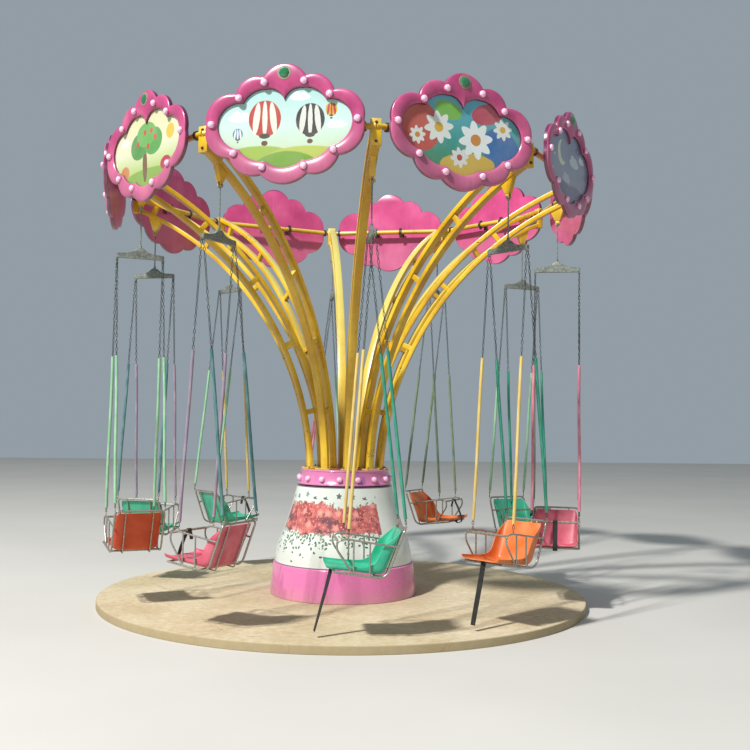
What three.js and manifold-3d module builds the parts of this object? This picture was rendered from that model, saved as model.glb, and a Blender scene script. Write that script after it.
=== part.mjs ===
// Small chair swing ride with ten hanging chairs, cloud shaped panels and a round low platform.
// Millimetres, +Z up. The origin is the centre of the platform's underside.
// A station is one arm with its chair: x runs the way the chair travels, y outwards, z up.

import * as THREE from 'three';
import { mergeVertices } from 'three/addons/utils/BufferGeometryUtils.js';
import Module from 'manifold-3d';

// Driving dimensions
const STATIONS = 10;
const STATION_ANGLE = (2 * Math.PI) / STATIONS;
const SEAT_GAP = 0.3;          // gap between pieces that bear on each other
const CUT = 600;               // size of the blocks that trim an arm's ends

const PLATFORM_RADIUS = 2240;
const PLATFORM_THICKNESS = 68;
const PLATFORM_SIDES = 72;

const RING_BOTTOM_RADIUS = 685;
const RING_TOP_RADIUS = 658;
const RING_TOP = 358;
const RING_LIP = 8;            // rounded edge of the base ring

const SKIRT_TOP = 1070;
const SKIRT_SIDES = 40;
const SKIRT_PROFILE = [[640, 358], [632, 460], [606, 560], [566, 660], [524, 780], [482, 920], [446, 1070]];

const BEARING_RADIUS = 300;
const BEARING_HEIGHT = 8;

const COLLAR_BOTTOM_RADIUS = 440;
const COLLAR_TOP_RADIUS = 416;
const COLLAR_TOP = 1221;

const ARC_CENTRE_RADIUS = 3194;  // centre of the arms' arcs, outside the ring of chairs
const ARC_CENTRE_HEIGHT = 1091;
const LOWER_RAIL_ARC = 2849;
const UPPER_RAIL_ARC = 2981;
const RAIL_DEPTH = 40;
const RAIL_WIDTH = 70;
const RAIL_STEPS = 9;
const RUNGS = 5;
const RUNG_SECTION = 44;
const RUNG_START = 0.875;        // first rung above the rails' start, in spaces between rungs
const RUNG_SPACES = 5.25;        // spaces between rungs in the rails' whole length
const FOOT_THICKNESS = 12;
const FOOT_OUTLINE = [[-44, 182], [44, 182], [74, 402], [-74, 402]];

const TIP_RADIUS = 2183;
const TIP_PLATE_INSIDE = 2142;   // the rails end against the inner face of the tip plate
const TIP_PLATE_OUTSIDE = 2190;
const TIP_PLATE_WIDTH = 84;
const TIP_PLATE_BOTTOM = 3712;
const TIP_PLATE_TOP = 3915;
const PIPE_HEIGHT = 3858;
const PIPE_APOTHEM = 24;
const PIPE_SIDES = 8;

const HOOK_RADIUS = 1966;
const PIVOT_HEIGHT = 3500;
const GUSSET_BOTTOM = 3530;
const GUSSET_TOP_LENGTH = 150;
const GUSSET_BOTTOM_LENGTH = 46;
const GUSSET_THICKNESS = 44;
const EAR_INSIDE = 8;
const EAR_THICKNESS = 8;
const EAR_RADIUS = 16;
const EAR_CORNER = 8;          // chamfered corners of an ear
const EAR_ROOT = 5;            // the ears run this far up into the gusset
const PIN_RADIUS = 7;

const EYE_RADIUS = 20;
const EYE_HOLE = 7.9;          // corner radius of the hole that runs on the pin
const EYE_THICKNESS = 12;
const ROD_RADIUS = 6;
const EYE_SIDES = 8;
const HANGER_BOTTOM = 3055;
const HANGER_BAR = [[206, 3096], [104, 3104], [58, 3122], [24, 3152]]; // half of the bar's top edge, from its end
const HANGER_WIDTH = 34;
const LAP = 10;                // welded pieces run this far into each other
const CHAIN_SECTION = 12;
const CHAIN_TOP_SIDE = 198;    // chains hang from the bar this far to each side of the rod
const CHAIN_TOP_SPREAD = 10;

const SEAT_FRONT = [268, 585];
const SEAT_CORNER = [-122, 532];
const BACK_TOP = [-258, 893];
const BEND_RADIUS = 62;
const TUBE_HALF = 9.5;         // half the width of the chair's square tube
const TUBE_SIDES = 4;
const FRAME_SIDE = 208;        // centre of each side frame
const ARM_LOOP = [[122, 566], [250, 752], [236, 806], [182, 822], [-200, 762]];
const POSTS = [120, 0];        // uprights between armrest and seat rail
const SEAT_BARS = [258, -40];  // cross bars under the seat
const LAP_BAR = [236, 806];
const LUG_SECTION = 16;
const FRONT_LUG = [160, 842];
const REAR_LUG = [-262, 912];
const CHAIN_GAP = 1.2;         // a chain ends this far above its lug, clear of its tilted edge
const POST_RADIUS = 8;

const SHELL_THICKNESS = 8;
const SHELL_HALF_WIDTH = 194;
const SHELL_FRONT = 312;
const SHELL_BACK = 352;          // length of the back, along its slope
const SHELL_LIP = 12;            // the rim's top corner is cut back this far
const WING_TOP = [[322, 650], [190, 640], [-20, 628], [-72, 768], [-206, 792]];

const BACK_BARS = [-85, 85];     // thin bars that carry the back of the shell
const BACK_BAR_HALF = 6;

const STRAP_WIDTH = 40;
const STRAP_THICKNESS = 5;
const STRAP_END = [386, 118];    // lower end of a strap that hangs free
const STRAP_TURN = [332, 588];   // turn in front of the shell of a strap that is up
const STRAPS_HANGING = [1, 2];   // at these stations; elsewhere the strap is up over the lap bar

const PANEL_DEPTH = 45;
const PANEL_STANDOFF = 65;       // the panels stand this far out from the pipes, on brackets
const PANEL_CENTRE = 3872;
const PANEL_POCKET = 14;
const LOBE_STEPS = 3;
const CROWN_STEPS = 4;
// Right half of the panel outline: each lobe ends at x, z and bulges out by the third value.
const OUTLINE_LOBES = [[165, 355, 96], [378, 235, 56], [606, 10, 88], [418, -248, 77], [178, -377, 56]];
const OUTLINE_BOTTOM_BULGE = 75;
const OPENING_NOTCH = 178;
const OPENING_LOBES = [[141, 264, 30], [319, 166, 30], [517, 8, 57], [350, -180, 46], [141, -275, 30]];
const OPENING_BOTTOM_BULGE = 51;
const CLAMP_OFFSET = 145;
const CLAMP_WIDTH = 30;
const CLAMP_WALL = 7;
const BRACKET_HEIGHT = 40;

const wasm = await Module();
wasm.setup();

// Materials: colour, roughness, metalness
const finish = (color, roughness, metalness = 0) => new THREE.MeshStandardMaterial({ color, roughness, metalness });
const CONCRETE = finish(0xd9c8a4, 0.9);
const PINK = finish(0xe85fa8, 0.45);
const WHITE = finish(0xf2f0ea, 0.5);
const YELLOW = finish(0xf0bf2a, 0.4, 0.2);
const GREY_STEEL = finish(0x8d9290, 0.5, 0.7);
const CREAM_TUBE = finish(0xcfcabd, 0.4, 0.6);
const SEAT_COLOURS = [0x5fe0b0, 0xf08040, 0xf08080, 0x5fe0b0, 0xf08040, 0xf08080, 0x5fe0b0, 0x5fe0b0, 0xb83a18, 0xf08080];

// Solids

function toSolid(geometry) {
  geometry.deleteAttribute('normal');
  geometry.deleteAttribute('uv');
  const merged = mergeVertices(geometry);
  return new wasm.Manifold(new wasm.Mesh({
    numProp: 3,
    vertProperties: new Float32Array(merged.attributes.position.array),
    triVerts: new Uint32Array(merged.index.array),
  }));
}

function toGeometry(solid) {
  const mesh = solid.getMesh();
  const geometry = new THREE.BufferGeometry();
  geometry.setAttribute('position', new THREE.BufferAttribute(mesh.vertProperties, 3));
  geometry.setIndex(new THREE.BufferAttribute(mesh.triVerts, 1));
  geometry.computeVertexNormals();
  return geometry;
}

const fuse = (geometries) => geometries.map(toSolid).reduce((sum, piece) => sum.add(piece));

function block(sizeX, sizeY, sizeZ, x, y, z) {
  return new THREE.BoxGeometry(sizeX, sizeY, sizeZ).translate(x, y, z);
}

function prism(outline, depth) {
  const shape = new THREE.Shape(outline.map(([x, y]) => new THREE.Vector2(x, y)));
  return new THREE.ExtrudeGeometry(shape, { depth, bevelEnabled: false }).translate(0, 0, -depth / 2);
}

// An outline in y and z, thick along x
function crossPlate(outline, thickness, x = 0) {
  const basis = new THREE.Matrix4().makeBasis(
    new THREE.Vector3(0, 1, 0), new THREE.Vector3(0, 0, 1), new THREE.Vector3(1, 0, 0));
  return prism(outline, thickness).applyMatrix4(basis).translate(x, 0, 0);
}

// An outline in x and z, thick along y
function sidePlate(outline, thickness, y = 0) {
  const basis = new THREE.Matrix4().makeBasis(
    new THREE.Vector3(1, 0, 0), new THREE.Vector3(0, 0, 1), new THREE.Vector3(0, -1, 0));
  return prism(outline, thickness).applyMatrix4(basis).translate(0, y, 0);
}

// A route that an extrusion follows from corner to corner
class CornerRoute extends THREE.Curve {
  constructor(corners) {
    super();
    this.corners = corners;
  }

  getPoint(t, target = new THREE.Vector3()) {
    const place = t * (this.corners.length - 1);
    const start = Math.max(0, Math.min(Math.floor(place), this.corners.length - 2));
    return target.lerpVectors(this.corners[start], this.corners[start + 1], place - start);
  }

  getPointAt(u, target) {
    return this.getPoint(u, target);
  }

  getTangentAt(u, target) {
    return this.getTangent(u, target);
  }
}

function alongRoute(section, corners) {
  const extrudePath = new CornerRoute(corners);
  return new THREE.ExtrudeGeometry(section, { extrudePath, steps: corners.length - 1, bevelEnabled: false });
}

function roundSection(radius, sides) {
  const corners = Array.from({ length: sides }, (_, i) => {
    const turn = ((i + 0.5) / sides) * 2 * Math.PI;
    return new THREE.Vector2(radius * Math.cos(turn), radius * Math.sin(turn));
  });
  return new THREE.Shape(corners);
}

function flatSection(width, depth) {
  return new THREE.Shape([
    new THREE.Vector2(-width / 2, -depth / 2), new THREE.Vector2(width / 2, -depth / 2),
    new THREE.Vector2(width / 2, depth / 2), new THREE.Vector2(-width / 2, depth / 2),
  ]);
}

function tube(points, radius = TUBE_HALF * Math.SQRT2, sides = TUBE_SIDES) {
  return alongRoute(roundSection(radius, sides), points.map((p) => new THREE.Vector3(...p)));
}

function lathe(profile, sides) {
  const points = profile.map(([r, z]) => new THREE.Vector2(r, z));
  return new THREE.LatheGeometry(points, sides).rotateX(Math.PI / 2);
}

// Platform and trunk

const platform = () => lathe(
  [[0, 0], [PLATFORM_RADIUS, 0], [PLATFORM_RADIUS, PLATFORM_THICKNESS], [0, PLATFORM_THICKNESS]],
  PLATFORM_SIDES);

const baseRing = () => lathe([
  [0, PLATFORM_THICKNESS + SEAT_GAP],
  [RING_BOTTOM_RADIUS, PLATFORM_THICKNESS + SEAT_GAP],
  [RING_TOP_RADIUS, RING_TOP - RING_LIP],
  [RING_TOP_RADIUS - RING_LIP, RING_TOP],
  [0, RING_TOP],
], SKIRT_SIDES);

const skirt = () => lathe([
  [0, RING_TOP + SEAT_GAP],
  [SKIRT_PROFILE[0][0], RING_TOP + SEAT_GAP],
  ...SKIRT_PROFILE.slice(1),
  [0, SKIRT_TOP],
], SKIRT_SIDES);

const bearing = () => lathe([
  [0, SKIRT_TOP + SEAT_GAP],
  [BEARING_RADIUS, SKIRT_TOP + SEAT_GAP],
  [BEARING_RADIUS, SKIRT_TOP + BEARING_HEIGHT],
  [0, SKIRT_TOP + BEARING_HEIGHT],
], SKIRT_SIDES);

const collar = () => lathe([
  [0, SKIRT_TOP + BEARING_HEIGHT + SEAT_GAP],
  [COLLAR_BOTTOM_RADIUS, SKIRT_TOP + BEARING_HEIGHT + SEAT_GAP],
  [COLLAR_TOP_RADIUS, COLLAR_TOP],
  [0, COLLAR_TOP],
], SKIRT_SIDES);

// Arms

// Radius and height on an arm's arc at an angle above its level tangent
function onArc(arc, angle) {
  return [ARC_CENTRE_RADIUS - arc * Math.cos(angle), ARC_CENTRE_HEIGHT + arc * Math.sin(angle)];
}

function angleAtHeight(arc, height) {
  return Math.asin((height - ARC_CENTRE_HEIGHT) / arc);
}

function angleAtRadius(arc, radius) {
  return Math.acos((ARC_CENTRE_RADIUS - radius) / arc);
}

const RAIL_START = angleAtHeight(LOWER_RAIL_ARC, COLLAR_TOP - RAIL_DEPTH);
const RAIL_END = angleAtRadius(LOWER_RAIL_ARC, TIP_RADIUS + RAIL_DEPTH);

function rail(arc) {
  const corners = Array.from({ length: RAIL_STEPS + 1 }, (_, i) => {
    const [y, z] = onArc(arc, RAIL_START + ((RAIL_END - RAIL_START) * i) / RAIL_STEPS);
    return new THREE.Vector3(0, y, z);
  });
  return alongRoute(flatSection(RAIL_WIDTH, RAIL_DEPTH), corners);
}

function rung(index) {
  const angle = RAIL_START + ((RAIL_END - RAIL_START) * (index + RUNG_START)) / RUNG_SPACES;
  const middle = (LOWER_RAIL_ARC + UPPER_RAIL_ARC) / 2;
  const [y, z] = onArc(middle, angle);
  const length = UPPER_RAIL_ARC - LOWER_RAIL_ARC;
  return new THREE.BoxGeometry(RUNG_SECTION, length, RUNG_SECTION).rotateX(-angle).translate(0, y, z);
}

function gusset() {
  const [, top] = onArc(LOWER_RAIL_ARC, angleAtRadius(LOWER_RAIL_ARC, HOOK_RADIUS));
  const reach = GUSSET_TOP_LENGTH / 2;
  const slope = (onArc(LOWER_RAIL_ARC, angleAtRadius(LOWER_RAIL_ARC, HOOK_RADIUS + reach))[1] - top) / reach;
  const foot = GUSSET_BOTTOM_LENGTH / 2;
  return crossPlate([
    [HOOK_RADIUS - foot, GUSSET_BOTTOM], [HOOK_RADIUS + foot, GUSSET_BOTTOM],
    [HOOK_RADIUS + reach, top + slope * reach], [HOOK_RADIUS - reach, top - slope * reach],
  ], GUSSET_THICKNESS);
}

function ear(side) {
  const half = [
    [EAR_CORNER, PIVOT_HEIGHT - EAR_RADIUS], [EAR_RADIUS, PIVOT_HEIGHT - EAR_CORNER],
    [EAR_RADIUS, GUSSET_BOTTOM + EAR_ROOT],
  ];
  const outline = [
    ...half.map(([y, z]) => [HOOK_RADIUS + y, z]),
    ...half.map(([y, z]) => [HOOK_RADIUS - y, z]).reverse(),
  ];
  return crossPlate(outline, EAR_THICKNESS, side * (EAR_INSIDE + EAR_THICKNESS / 2));
}

function pin() {
  const reach = EAR_INSIDE + EAR_THICKNESS / 2;
  return tube([[-reach, HOOK_RADIUS, PIVOT_HEIGHT], [reach, HOOK_RADIUS, PIVOT_HEIGHT]], PIN_RADIUS, 8);
}

const foot = () => prism(FOOT_OUTLINE, FOOT_THICKNESS).translate(0, 0, COLLAR_TOP + SEAT_GAP + FOOT_THICKNESS / 2);

function arm() {
  const rungs = Array.from({ length: RUNGS }, (_, i) => rung(i));
  const whole = fuse([
    rail(LOWER_RAIL_ARC), rail(UPPER_RAIL_ARC), ...rungs, gusset(), ear(-1), ear(1), pin(), foot(),
  ]);
  const stop = TIP_PLATE_INSIDE - SEAT_GAP;
  const belowFoot = COLLAR_TOP + SEAT_GAP;
  const outer = toSolid(block(2 * CUT, CUT, 2 * CUT, 0, stop + CUT / 2, TIP_PLATE_TOP));
  const lower = toSolid(block(2 * CUT, 2 * CUT, CUT, 0, 0, belowFoot - CUT / 2));
  return toGeometry(whole.subtract(outer).subtract(lower));
}

// Ring of pipes between the arm tips, with a plate at each tip

function ringPipe() {
  const half = TIP_RADIUS * Math.sin(STATION_ANGLE / 2);
  const distance = TIP_RADIUS * Math.cos(STATION_ANGLE / 2);
  const radius = PIPE_APOTHEM / Math.cos(Math.PI / PIPE_SIDES);
  return tube([[-half, distance, PIPE_HEIGHT], [half, distance, PIPE_HEIGHT]], radius, PIPE_SIDES)
    .rotateZ(STATION_ANGLE / 2);
}

function tipPlate() {
  const height = TIP_PLATE_TOP - TIP_PLATE_BOTTOM;
  return block(TIP_PLATE_WIDTH, TIP_PLATE_OUTSIDE - TIP_PLATE_INSIDE, height,
    0, (TIP_PLATE_OUTSIDE + TIP_PLATE_INSIDE) / 2, TIP_PLATE_BOTTOM + height / 2);
}

function tipRing() {
  const pieces = [];
  for (let i = 0; i < STATIONS; i += 1) {
    pieces.push(ringPipe().rotateZ(i * STATION_ANGLE), tipPlate().rotateZ(i * STATION_ANGLE));
  }
  return toGeometry(fuse(pieces));
}

// Panels

function arcPoints([x0, z0], [x1, z1], bulge, steps) {
  const chord = Math.hypot(x1 - x0, z1 - z0);
  const radius = (chord * chord) / (8 * bulge) + bulge / 2;
  const half = Math.asin(chord / (2 * radius));
  const out = [-(z1 - z0) / chord, (x1 - x0) / chord];
  const centre = [
    (x0 + x1) / 2 - out[0] * (radius - bulge),
    (z0 + z1) / 2 - out[1] * (radius - bulge),
  ];
  const heading = Math.atan2(out[1], out[0]);
  return Array.from({ length: steps }, (_, i) => {
    const turn = heading + half - (2 * half * i) / steps;
    return [centre[0] + radius * Math.cos(turn), centre[1] + radius * Math.sin(turn)];
  });
}

// Lobes run clockwise from the top left cusp; the left half mirrors the right one.
function lobedOutline(lobes, top, bottomBulge) {
  const right = lobes.map(([x, z, bulge]) => ({ end: [x, z], bulge }));
  const points = [];
  let from = top.start;
  top.arcs.forEach(({ end, bulge }) => {
    points.push(...arcPoints(from, end, bulge, CROWN_STEPS));
    from = end;
  });
  right.slice(1).forEach(({ end, bulge }) => {
    points.push(...arcPoints(from, end, bulge, LOBE_STEPS));
    from = end;
  });
  points.push(...arcPoints(from, [-from[0], from[1]], bottomBulge, LOBE_STEPS));
  const left = right.slice(1).reverse();
  left.forEach(({ bulge }, i) => {
    const start = left[i].end;
    const end = right[right.length - 2 - i].end;
    points.push(...arcPoints([-start[0], start[1]], [-end[0], end[1]], bulge, LOBE_STEPS));
  });
  return points.reverse();
}

function panelOutline() {
  const [x, z, bulge] = OUTLINE_LOBES[0];
  return lobedOutline(OUTLINE_LOBES, { start: [-x, z], arcs: [{ end: [x, z], bulge }] }, OUTLINE_BOTTOM_BULGE);
}

function openingOutline() {
  const [x, z, bulge] = OPENING_LOBES[0];
  const arcs = [{ end: [0, OPENING_NOTCH], bulge }, { end: [x, z], bulge }];
  return lobedOutline(OPENING_LOBES, { start: [-x, z], arcs }, OPENING_BOTTOM_BULGE);
}

// The front face of each panel looks outwards.
function panel() {
  const pipeLine = TIP_RADIUS * Math.cos(STATION_ANGLE / 2);
  const back = pipeLine + PIPE_APOTHEM + PANEL_STANDOFF;
  const front = back + PANEL_DEPTH;
  const raise = ([x, z]) => [x, z + PANEL_CENTRE];
  const body = toSolid(sidePlate(panelOutline().map(raise), PANEL_DEPTH, back + PANEL_DEPTH / 2));
  const pocket = toSolid(sidePlate(openingOutline().map(raise), 2 * PANEL_POCKET, front));
  const brackets = [-1, 1].map((side) => bracket(side * CLAMP_OFFSET, pipeLine, back));
  return toGeometry(brackets.reduce((sum, piece) => sum.add(piece), body.subtract(pocket)));
}

// A clamp round the pipe, on a bracket that runs into the panel's back
function bracket(x, pipeLine, back) {
  const inside = 2 * (PIPE_APOTHEM + SEAT_GAP);
  const outside = inside + 2 * CLAMP_WALL;
  const shell = toSolid(block(CLAMP_WIDTH, outside, outside, x, pipeLine, PIPE_HEIGHT));
  const reach = back + LAP - pipeLine;
  const arm = toSolid(block(CLAMP_WIDTH, reach, BRACKET_HEIGHT, x, pipeLine + reach / 2, PIPE_HEIGHT));
  return shell.add(arm).subtract(toSolid(block(2 * CLAMP_WIDTH, inside, inside, x, pipeLine, PIPE_HEIGHT)));
}

// Chairs

function hanger() {
  const disc = (radius, thickness) => toSolid(crossPlate(
    roundSection(radius, EYE_SIDES).getPoints().map((p) => [p.x, p.y + PIVOT_HEIGHT]), thickness));
  const [length] = HANGER_BAR[0];
  const [, peak] = HANGER_BAR[HANGER_BAR.length - 1];
  const plate = crossPlate([
    [-length, HANGER_BOTTOM], [length, HANGER_BOTTOM],
    ...HANGER_BAR, ...HANGER_BAR.map(([y, z]) => [-y, z]).reverse(),
  ], HANGER_WIDTH);
  const rod = tube([[0, 0, peak - LAP], [0, 0, PIVOT_HEIGHT - EYE_RADIUS + LAP / 2]], ROD_RADIUS);
  const chains = [];
  for (const side of [-1, 1]) {
    for (const [x, z, sense] of [[...FRONT_LUG, 1], [...REAR_LUG, -1]]) {
      const top = [sense * CHAIN_TOP_SPREAD, side * CHAIN_TOP_SIDE, HANGER_BOTTOM + LAP];
      chains.push(tube([top, [x, side * FRAME_SIDE, z + CHAIN_GAP]], CHAIN_SECTION / Math.SQRT2, 4));
    }
  }
  const eye = disc(EYE_RADIUS, EYE_THICKNESS).subtract(disc(EYE_HOLE, 2 * EYE_THICKNESS));
  return toGeometry(fuse([plate, rod, ...chains]).add(eye));
}

// The seat rail runs from the front of the seat to the rounded corner and up the backrest.
function seatRail(y) {
  const corner = new THREE.Vector2(...SEAT_CORNER);
  const towardsFront = new THREE.Vector2(...SEAT_FRONT).sub(corner).normalize();
  const towardsTop = new THREE.Vector2(...BACK_TOP).sub(corner).normalize();
  const bend = new THREE.QuadraticBezierCurve(
    corner.clone().addScaledVector(towardsFront, BEND_RADIUS), corner,
    corner.clone().addScaledVector(towardsTop, BEND_RADIUS));
  const route = [SEAT_FRONT, ...bend.getPoints(2).map((p) => [p.x, p.y]), BACK_TOP];
  return tube(route.map(([x, z]) => [x, y, z]));
}

// A back bar runs from the rear cross bar under the seat, round the shell's corner and up the backrest.
function backBar(y) {
  const x = SEAT_BARS[1];
  const route = [[x, railHeight(x)], SEAT_CORNER, BACK_TOP];
  return tube(route.map(([px, pz]) => [px, y, pz]), BACK_BAR_HALF * Math.SQRT2);
}

function railHeight(x) {
  const slope = (SEAT_FRONT[1] - SEAT_CORNER[1]) / (SEAT_FRONT[0] - SEAT_CORNER[0]);
  return SEAT_CORNER[1] + slope * (x - SEAT_CORNER[0]);
}

function armrestHeight(x) {
  const [front, back] = ARM_LOOP.slice(-2);
  return front[1] + ((back[1] - front[1]) * (x - front[0])) / (back[0] - front[0]);
}

// A square bar from side to side, turned so that its faces follow a slope in x and z
function crossBar(x, z, run = [1, 0]) {
  return new THREE.BoxGeometry(2 * TUBE_HALF, 2 * FRAME_SIDE, 2 * TUBE_HALF)
    .rotateY(-Math.atan2(run[1], run[0])).translate(x, 0, z);
}

const run = (from, to) => [to[0] - from[0], to[1] - from[1]];

function lug(x, y, top, below) {
  return block(LUG_SECTION, LUG_SECTION, top - below, x, y, (top + below) / 2);
}

// The strap runs from the front bar of the seat to its free end, or round the shell up to the lap bar.
function strap(hanging) {
  const start = [SEAT_FRONT[0] - TUBE_HALF, SEAT_FRONT[1]];
  const route = hanging ? [start, STRAP_END] : [start, STRAP_TURN, LAP_BAR];
  return alongRoute(flatSection(STRAP_WIDTH, STRAP_THICKNESS), route.map(([x, z]) => new THREE.Vector3(x, 0, z)));
}

function chairFrame(station) {
  const pieces = BACK_BARS.map(backBar);
  for (const side of [-FRAME_SIDE, FRAME_SIDE]) {
    pieces.push(seatRail(side), tube(ARM_LOOP.map(([x, z]) => [x, side, z])));
    for (const x of POSTS) {
      pieces.push(tube([[x, side, railHeight(x)], [x, side, armrestHeight(x)]], POST_RADIUS));
    }
    pieces.push(lug(FRONT_LUG[0], side, FRONT_LUG[1], armrestHeight(FRONT_LUG[0])));
    pieces.push(lug(REAR_LUG[0], side, REAR_LUG[1], BACK_TOP[1] - TUBE_HALF));
  }
  const seatRun = run(SEAT_CORNER, SEAT_FRONT);
  for (const x of SEAT_BARS) {
    pieces.push(crossBar(x, railHeight(x), seatRun));
  }
  pieces.push(crossBar(...BACK_TOP, run(SEAT_CORNER, BACK_TOP)), crossBar(...LAP_BAR),
    strap(STRAPS_HANGING.includes(station)));
  return toGeometry(fuse(pieces));
}

// The shell's underside and back lie on the frame's cross bars.
function seatShell() {
  const offset = TUBE_HALF + SEAT_GAP;
  const corner = new THREE.Vector2(...SEAT_CORNER);
  const seatRun = new THREE.Vector2(...SEAT_FRONT).sub(corner).normalize();
  const backRun = new THREE.Vector2(...BACK_TOP).sub(corner).normalize();
  const upFromSeat = new THREE.Vector2(-seatRun.y, seatRun.x);
  const fromBack = new THREE.Vector2(backRun.y, -backRun.x);
  // Where the seat line and the back line meet, both moved in by a distance
  const meet = (distance) => {
    const sine = seatRun.x * backRun.y - seatRun.y * backRun.x;
    return corner.clone().addScaledVector(backRun, distance / sine).addScaledVector(seatRun, distance / sine);
  };
  const onSeat = (x, distance) => {
    const foot = meet(distance);
    return [x, foot.y + ((x - foot.x) * seatRun.y) / seatRun.x];
  };
  const outerCorner = meet(offset);
  const outerTop = outerCorner.clone().addScaledVector(backRun, SHELL_BACK);
  const rimTop = outerTop.clone().addScaledVector(fromBack, SHELL_THICKNESS);
  const outline = [
    [outerCorner.x, outerCorner.y], onSeat(SHELL_FRONT, offset), ...WING_TOP,
    [rimTop.x + SHELL_LIP, rimTop.y - SHELL_LIP], [rimTop.x, rimTop.y], [outerTop.x, outerTop.y],
  ];
  const innerCorner = meet(offset + SHELL_THICKNESS);
  const innerTop = innerCorner.clone().addScaledVector(backRun, 2 * SHELL_BACK);
  const hollow = [
    [innerCorner.x, innerCorner.y], onSeat(2 * SHELL_FRONT, offset + SHELL_THICKNESS),
    [2 * SHELL_FRONT, innerTop.y], [innerTop.x, innerTop.y],
  ];
  const outer = toSolid(sidePlate(outline, 2 * SHELL_HALF_WIDTH));
  const inner = toSolid(sidePlate(hollow, 2 * (SHELL_HALF_WIDTH - SHELL_THICKNESS)));
  return toGeometry(outer.subtract(inner));
}

// Assembly

const ride = new THREE.Group();

function addMesh(parent, name, geometry, material) {
  const mesh = new THREE.Mesh(geometry, material.clone());
  mesh.name = name;
  parent.add(mesh);
}

addMesh(ride, 'platform', platform(), CONCRETE);
addMesh(ride, 'base_ring', baseRing(), PINK);
addMesh(ride, 'skirt', skirt(), WHITE);
addMesh(ride, 'slew_bearing', bearing(), GREY_STEEL);
addMesh(ride, 'collar', collar(), PINK);
addMesh(ride, 'tip_ring', tipRing(), YELLOW);

for (let i = 0; i < STATIONS; i += 1) {
  const number = String(i + 1).padStart(2, '0');
  const station = new THREE.Group();
  station.rotation.z = Math.PI + i * STATION_ANGLE;
  ride.add(station);
  addMesh(station, `arm_${number}`, arm(), YELLOW);

  const bay = new THREE.Group();
  bay.rotation.z = Math.PI + (i + 0.5) * STATION_ANGLE;
  ride.add(bay);
  addMesh(bay, `panel_${number}`, panel(), PINK);

  const chair = new THREE.Group();
  chair.position.y = HOOK_RADIUS;
  station.add(chair);
  addMesh(chair, `hanger_${number}`, hanger(), GREY_STEEL);
  addMesh(chair, `chair_frame_${number}`, chairFrame(i + 1), CREAM_TUBE);
  addMesh(chair, `seat_shell_${number}`, seatShell(), finish(SEAT_COLOURS[i], 0.4));
}

export default ride;
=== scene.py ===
# The finish of a small chair swing ride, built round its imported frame. Metres, +Z up.

import math

import bpy
import numpy as np
from mathutils import Matrix, Vector


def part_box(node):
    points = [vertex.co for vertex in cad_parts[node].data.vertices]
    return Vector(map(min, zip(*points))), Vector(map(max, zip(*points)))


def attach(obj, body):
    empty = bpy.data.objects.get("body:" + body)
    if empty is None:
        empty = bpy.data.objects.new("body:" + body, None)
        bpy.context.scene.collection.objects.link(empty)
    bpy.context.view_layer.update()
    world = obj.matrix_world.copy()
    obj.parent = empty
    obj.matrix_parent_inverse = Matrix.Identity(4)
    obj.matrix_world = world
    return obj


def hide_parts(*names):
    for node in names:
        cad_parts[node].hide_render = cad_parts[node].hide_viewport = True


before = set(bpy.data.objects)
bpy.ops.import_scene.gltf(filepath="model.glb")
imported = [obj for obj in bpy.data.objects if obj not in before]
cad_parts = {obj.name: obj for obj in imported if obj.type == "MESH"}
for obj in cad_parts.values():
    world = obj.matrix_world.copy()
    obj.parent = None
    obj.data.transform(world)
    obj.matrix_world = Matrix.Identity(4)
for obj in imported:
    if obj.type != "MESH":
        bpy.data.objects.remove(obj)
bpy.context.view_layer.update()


# Camera
# The ride is seen from eye height, 9.4 m from its axis and a little to the left of it, with a lens of
# normal length.
EYE = (-0.8385, -9.3733, 1.7)
TURN, RISE, LEAN = math.radians(6.78), math.radians(2.49), math.radians(0.79)
LENS, SENSOR = 47.57, 36     # millimetres


def in_scene(name, data):
    """An object that shows its data, linked to the scene."""
    made = bpy.data.objects.new(name, data)
    bpy.context.scene.collection.objects.link(made)
    return made


camera_data = bpy.data.cameras.new("eye_level_camera")
camera_data.sensor_width = SENSOR
camera_data.lens = LENS
camera = in_scene("eye_level_camera", camera_data)
camera.matrix_world = (
    Matrix.Translation(EYE)
    @ Matrix.Rotation(-TURN, 4, "Z")
    @ Matrix.Rotation(math.pi / 2 + RISE, 4, "X")
    @ Matrix.Rotation(LEAN, 4, "Z")
)
bpy.context.scene.camera = camera


# Platform
# A round slab of trowelled concrete, cast in a hoop. Its top is dry and dusty, worn a little hollow by
# feet, and its rim is plain and darker.
PLATFORM_RADIUS, _, PLATFORM_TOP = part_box("platform")[1]
PLATFORM_SIDES, PLATFORM_RINGS = 180, 24
RIM_ROUNDING, RIM_CHAMFER = 0.009, 0.004
TOP_HOLLOW = 0.002
RIM_DARKENING = 0.012     # how far in from the rim the top is darker
TRUNK_DARKENING = (0.68, 1.15)     # radii between which the darkening round the trunk fades out
CORE = 0.3     # radius of the one flat face that closes a turned piece's foot and its top


def linear(colour):
    """The linear RGBA of an sRGB hex colour: a channel above 0.04045 is ((c + 0.055) / 1.055) to the 2.4."""
    channels = np.array([int(colour[i : i + 2], 16) for i in (1, 3, 5)]) / 255
    rgb = np.where(channels <= 0.04045, channels / 12.92, ((channels + 0.055) / 1.055) ** 2.4)
    return (*rgb.tolist(), 1.0)


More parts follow.
